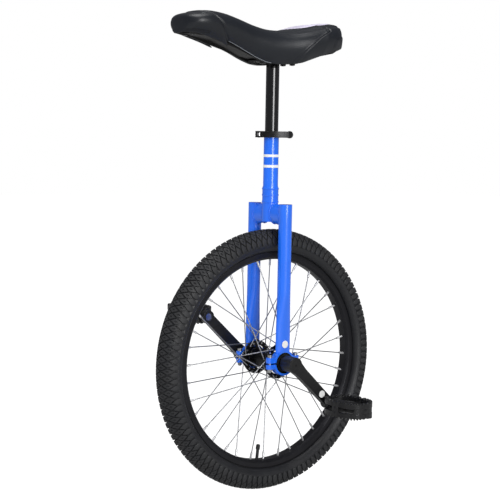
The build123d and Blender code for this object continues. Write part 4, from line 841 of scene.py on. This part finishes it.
def cover_relief(x, z, z_share):
    """The cover's seams as a distance in or out: a curved side seam with a sunk panel ahead of it,
    a shoulder seam behind the waist, and a groove along the nose's back edge."""
    side_x = smooth(SIDE_SEAM_Z, SIDE_SEAM_X, z)
    side = seam_line((x - side_x) * 0.8, 1.1, 1.2) * (1 - step(0.86, 0.93, z_share))
    panel = -PANEL_SINK * step(-3, 6, x - side_x) * step(-85, -63, x)
    panel = panel * (1 - step(0.8, 0.92, z_share)) * (1 - step(0, 60, x))
    share = smooth(SHOULDER_X, SHOULDER_SHARE, x)
    shoulder = seam_line((z_share - share) * 60, 1.6, 0.9) * (1 - step(0, 55, x)) * step(-139, -125, x)
    nose_gap = -NOSE_GAP_DEPTH * np.exp(-((x - nose_edge(z_share) + 1.0) / NOSE_GAP_WIDTH) ** 2)
    return side + shoulder + panel + nose_gap


def along_saddle(front, closeness, tail_steps, steps):
    """Places along the saddle: sine-spaced round the tail, then even to the front."""
    bend = np.linspace(np.pi / 2 * closeness, 0, tail_steps)
    tail = TAIL_START - (TAIL_START - TAIL_END) * np.sin(bend)
    return np.concatenate([tail, np.linspace(TAIL_START, front, steps)[1:]])


def saddle_cover():
    """The stretched cover: sections along X, closed at the tail, with its seams pressed in."""
    x = along_saddle(COVER_X[-1], 1.0, 70, 280)
    y_share, z_share = section_curve(221)
    grid_x, grid_share = np.meshgrid(x, z_share, indexing="ij")
    half, low, high = saddle_sizes(grid_x)
    z = low + (high - low) * grid_share + FLOOR_TOP / MM
    relief = cover_relief(grid_x, z, grid_share)
    points = saddle_surface(grid_x, y_share[None, :], grid_share, relief)
    faces = grid_faces(*points.shape[:2])
    made = piece("saddle_cover_skin", points, faces, "seat", SEAT_SKIN, sharp=80)
    thicken(made, SHELL)
    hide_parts("saddle_cover")


def saddle_foam():
    """The foam under the cover: the cover's own surface moved in, closed below by straight lines."""
    x = along_saddle(FOAM_FRONT, 0.97, 30, 60)
    y_share, z_share = section_curve(61)
    grid_x, grid_share = np.meshgrid(x, z_share, indexing="ij")
    points = saddle_surface(grid_x, y_share[None, :], 0.12 + 0.88 * grid_share, -FOAM_GAP)
    faces = capped(*points.shape[:2])
    made = piece("foam_pad", points, faces, "seat", FOAM, sharp=50)
    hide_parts("saddle_foam")


NOSE_START, NOSE_TIP = 158.0, 219.0
NOSE_HALF, NOSE_FOOT, NOSE_POWER = 50.5, 0.58, 3.2
NOSE_LOW_X = (120, 128, 139, 176, 202, 224, 232)
NOSE_LOW_Z = (13, 16, 20, 30.5, 36, 36, 36)
NOSE_HIGH_X = (120, 140, 158, 176, 196, 224)
NOSE_HIGH_Z = (74.5, 79, 80, 78.5, 75, 72)
NOSE_SEAM_Z = 44
NOSE_EDGE_SHARE = (0, 0.2, 0.45, 0.7, 0.9, 1.0)
NOSE_EDGE_X = (126, 141, 151, 164, 180, 195)
NOSE_SHELL = 2.4


def nose_surface(x, y_share, z_share, out=0.0):
    """The moulded nose: the saddle's section, closed at its tip by a superellipse."""
    t = np.clip((x - NOSE_START) / (NOSE_TIP - NOSE_START), 0, 1)
    fade = (1 - t ** NOSE_POWER) ** (1 / NOSE_POWER)
    half = smooth((120, 140, 158, 200), (48.5, 50, NOSE_HALF, NOSE_HALF), x) * drawn_in(NOSE_FOOT, z_share)
    low = smooth(NOSE_LOW_X, NOSE_LOW_Z, x)
    high = smooth(NOSE_HIGH_X, NOSE_HIGH_Z, x) + out
    high = NOSE_SEAM_Z + (high - NOSE_SEAM_Z) * fade ** 0.32
    y = (half + out) * fade * y_share
    return np.stack([x + 0 * y, y, low + (high - low) * z_share + FLOOR_TOP / MM], axis=-1) * MM


def nose_edge(z_share):
    """Where the nose's back edge lies along X: far forward on top, further back down the sides."""
    return smooth(NOSE_EDGE_SHARE, NOSE_EDGE_X, z_share)


def nose():
    """The moulded nose: a shell from its curved back edge to the tip, with a rolled back edge and a lip."""
    y_share, z_share = section_curve(161)
    s = np.linspace(0, 1, 90)[:, None]
    back = nose_edge(z_share)[None, :]
    x = back + (NOSE_TIP - back) * np.sin(s * np.pi / 2) ** 0.9
    roll = -2.2 * (1 - np.clip(s / 0.06, 0, 1)) ** 2
    lip = 0.8 * np.exp(-(z_share / 0.07) ** 2)[None, :] * step(0, 0.3, s)
    points = nose_surface(x, y_share[None, :], z_share[None, :], roll + lip)
    faces = grid_faces(*points.shape[:2])
    made = piece("nose_shell", points, faces, "seat", NOSE_SKIN, sharp=80)
    thicken(made, NOSE_SHELL)
    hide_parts("front_bumper")


def nose_ribs():
    """Small upright ribs in a row above the nose's lower edge: round bars that follow its surface."""
    count, sides = 52, 8
    front = np.linspace(-1.2, 1.2, count)
    x = 217.5 - 42 * (1 - np.cos(front)) / (1 - np.cos(1.2))
    side = np.where(front < 0, -1.0, 1.0)
    heights = np.linspace(0.05, 0.17, 5)
    points = nose_surface(x[:, None], side[:, None], heights[None, :], 0.1)
    bars = [cord_round(points[i], 0.55 * MM, sides, outward=(0, side[i], 0)) for i in range(count)]
    quads = np.array(grid_faces(len(heights), sides, wrap_columns=True))
    starts = (np.arange(count) * len(heights) * sides)[:, None]
    faces = (starts[:, :, None] + quads[None]).reshape(-1, 4).tolist()
    near_end = (starts + np.arange(sides)).tolist()
    far_end = (starts + (len(heights) - 1) * sides + np.arange(sides)).tolist()
    piece("nose_ribs", np.stack(bars), faces + near_end + far_end, "seat", NOSE_SKIN)


def hem_piping():
    """A thin welt along the cover's hem, from behind the nose to the seat post, on each side."""
    x = np.linspace(30, 128, 120)
    for side, name in ((1, "left"), (-1, "right")):
        path = saddle_surface(x, side * np.ones_like(x), 0.012 * np.ones_like(x), 0.4)
        points = cord_round(path, 0.75 * MM, 10, outward=(0, side, 0))
        piece(f"hem_welt_{name}", points, capped(*points.shape[:2]), "seat", PIPING)


PATCH_CENTRE = -78
PATCH_HALF_LENGTH = 47
PATCH_HALF_WIDTH = 45
PATCH_SQUARENESS = 0.75
PATCH_LIFT = 0.9
PATCH_SHEET = 0.5


def top_patch():
    """A plain pale panel on the rear of the saddle: rings of a superellipse laid on the cover."""
    rings = np.linspace(0, 1, 24)[:, None]
    turn = np.linspace(0, 2 * np.pi, 96, endpoint=False)[None, :]
    cos, sin = np.cos(turn), np.sin(turn)
    x = PATCH_CENTRE + PATCH_HALF_LENGTH * rings * np.sign(cos) * np.abs(cos) ** PATCH_SQUARENESS
    y = PATCH_HALF_WIDTH * rings * np.sign(sin) * np.abs(sin) ** PATCH_SQUARENESS
    half, low, high = saddle_sizes(x)
    across, up = SECTION_POWERS
    share = (1 - np.abs(y / half) ** across) ** (1 / up)
    lift = PATCH_LIFT * (1 - rings ** 12) + 0 * turn - 0.1
    z = low + (high - low) * share + lift + FLOOR_TOP / MM
    points = np.stack([x, y + 0 * x, z], axis=-1) * MM
    faces = grid_faces(*points.shape[:2], wrap_columns=True)
    made = piece("top_patch", points, faces, "seat", PATCH)
    thicken(made, PATCH_SHEET)


BAND_CENTRE = -88.0
BAND_TURN = 1.62
BAND_RISE = 2.9
BAND_SINK = 0.8
BAND_SHELL = 2.0


def cover_reach(across, along, z):
    """How far the cover's surface lies from the band's centre line, in this heading and at this height,
    found by halving."""
    near, far = np.zeros(z.shape), np.full(z.shape, 90.0)
    for _ in range(30):
        reach = (near + far) / 2
        x = BAND_CENTRE + along * reach
        half, low, high = saddle_sizes(x)
        share = np.clip((z - low) / np.maximum(high - low, 1e-3), 0, 1)
        power, upper = SECTION_POWERS
        width = half * drawn_in(foot_share(x), share) * (1 - share ** upper) ** (1 / power)
        inside = (np.abs(across * reach) < width) & (z > low) & (x > TAIL_END)
        near, far = np.where(inside, reach, near), np.where(inside, far, reach)
    return near


def rear_band():
    """The moulded band around the tail: the cover's own surface moved out, between two curved edges."""
    turn = np.linspace(-BAND_TURN, BAND_TURN, 170)[:, None]
    t = np.linspace(0, 1, 26)[None, :]
    back = np.clip(np.cos(turn), 0, 1)
    from_end = 1 - np.abs(turn) / BAND_TURN
    end = step(0, 0.2, from_end)
    low = 17 + 18 * back ** 2 + 6 * (1 - end)
    high = 48 - 9 * (1 - end) + 0 * back
    z = low + (high - low) * t
    reach = cover_reach(np.sin(turn) + 0 * z, -np.cos(turn) + 0 * z, z)
    reach = reach + BAND_RISE * (1 - (2 * t - 1) ** 6) * step(0, 0.1, from_end) - BAND_SINK
    x, y = BAND_CENTRE - reach * np.cos(turn), reach * np.sin(turn)
    points = np.stack([x, y, z + FLOOR_TOP / MM], axis=-1) * MM
    faces = grid_faces(*points.shape[:2])
    made = piece("rear_band", points, faces, "seat", NOSE_SKIN, sharp=80)
    thicken(made, BAND_SHELL)
    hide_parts("rear_bumper")


# ---------------------------------------------------------------- room, lights and camera
CAMERA_PLACE = (1.568506, 1.975317, 0.669484)
CAMERA_HEADING, CAMERA_PITCH, CAMERA_ROLL = -127.612, -4.650, 1.066
CAMERA_LENS = 94.70
CAMERA_SIDE = 52.4
LIGHT_TARGET = 0.45


def room():
    """A plain pale floor and a white surround, which also gives a dim soft light."""
    mesh = bpy.data.meshes.new("floor")
    reach = 12.0
    corners = [(-reach, -reach, 0), (reach, -reach, 0), (reach, reach, 0), (-reach, reach, 0)]
    mesh.from_pydata(corners, [], [(0, 1, 2, 3)])
    floor = bpy.data.objects.new("floor", mesh)
    bpy.context.collection.objects.link(floor)
    pale = bpy.data.materials.new("pale_floor")
    pale.use_nodes = True
    skin = pale.node_tree.nodes["Principled BSDF"]
    skin.inputs["Base Color"].default_value = (0.16, 0.16, 0.16, 1)
    skin.inputs["Roughness"].default_value = 0.9
    skin.inputs["Emission Strength"].default_value = 0.985
    seen_only = add(pale.node_tree, "ShaderNodeLightPath").outputs["Is Camera Ray"]
    glow = mixed(pale.node_tree, seen_only, (0.3, 0.3, 0.3, 1), (1, 1, 1, 1))
    pale.node_tree.links.new(glow, skin.inputs["Emission Color"])
    mesh.materials.append(pale)

    world = bpy.data.worlds.new("surround")
    bpy.context.scene.world = world
    world.use_nodes = True
    tree = world.node_tree
    tree.nodes.clear()
    seen = add(tree, "ShaderNodeBackground", Color=(1, 1, 1, 1), Strength=1.0)
    path = add(tree, "ShaderNodeLightPath")
    dimmed = mixed(tree, path.outputs["Is Glossy Ray"], (0.28, 0.28, 0.28, 1), (0.16, 0.16, 0.17, 1))
    cast = add(tree, "ShaderNodeBackground", Color=dimmed, Strength=1.0)
    direct = path.outputs["Is Camera Ray"]
    mix = add(tree, "ShaderNodeMixShader", at0=direct, at1=cast.outputs[0], at2=seen.outputs[0])
    out = add(tree, "ShaderNodeOutputWorld")
    tree.links.new(mix.outputs[0], out.inputs[0])


def soft_light(name, heading, height, distance, size, power, mirrored=True):
    """An area light that looks at the middle of the object from a heading round it, in degrees."""
    data = bpy.data.lights.new(name, "AREA")
    data.shape = "RECTANGLE"
    data.size, data.size_y = size
    data.energy = power
    light = bpy.data.objects.new(name, data)
    bpy.context.collection.objects.link(light)
    turn = math.radians(heading)
    place = Vector((distance * math.cos(turn), distance * math.sin(turn), height))
    light.location = place
    light.visible_glossy = mirrored
    light.rotation_euler = (Vector((0, 0, LIGHT_TARGET)) - place).to_track_quat("-Z", "Y").to_euler()


def camera():
    """The camera: in front, to the left, about as high as the seat post's clamp, a degree out of level."""
    heading, pitch, roll = (math.radians(angle) for angle in (CAMERA_HEADING, CAMERA_PITCH, CAMERA_ROLL))
    flat = math.cos(pitch)
    ahead = Vector((flat * math.cos(heading), flat * math.sin(heading), math.sin(pitch)))
    level = ahead.cross(Vector((0, 0, 1))).normalized()
    raised = level.cross(ahead)
    right = level * math.cos(roll) + raised * math.sin(roll)
    up = raised * math.cos(roll) - level * math.sin(roll)
    data = bpy.data.cameras.new("camera")
    data.lens, data.sensor_width = CAMERA_LENS, 36.0
    made = bpy.data.objects.new("camera", data)
    bpy.context.collection.objects.link(made)
    turn = Matrix((right, up, -ahead)).transposed().to_4x4()
    made.matrix_world = Matrix.Translation(CAMERA_PLACE) @ turn
    bpy.context.scene.camera = made


camera()
room()
soft_light("key", CAMERA_SIDE + 27, 1.4, 3.0, (1.1, 2.2), 62)
soft_light("fill", CAMERA_SIDE - 50, 1.2, 3.0, (0.8, 2.0), 34, mirrored=False)
soft_light("back_left", CAMERA_SIDE - 120, 1.4, 3.0, (0.8, 2.0), 25, mirrored=False)
soft_light("back_right", CAMERA_SIDE + 115, 1.4, 3.0, (0.8, 2.0), 25, mirrored=False)
soft_light("top", 10, 3.2, 0.4, (1.6, 1.6), 40)
bpy.context.scene.view_settings.view_transform = "Standard"

tyre()
rim()
valve_cap()
pedal("left", 1)
pedal("right", -1)
crown_welds()
tube_rings()
tube_bands()
seat_post()
saddle_cover()
saddle_foam()
nose()
nose_ribs()
hem_piping()
top_patch()
rear_band()
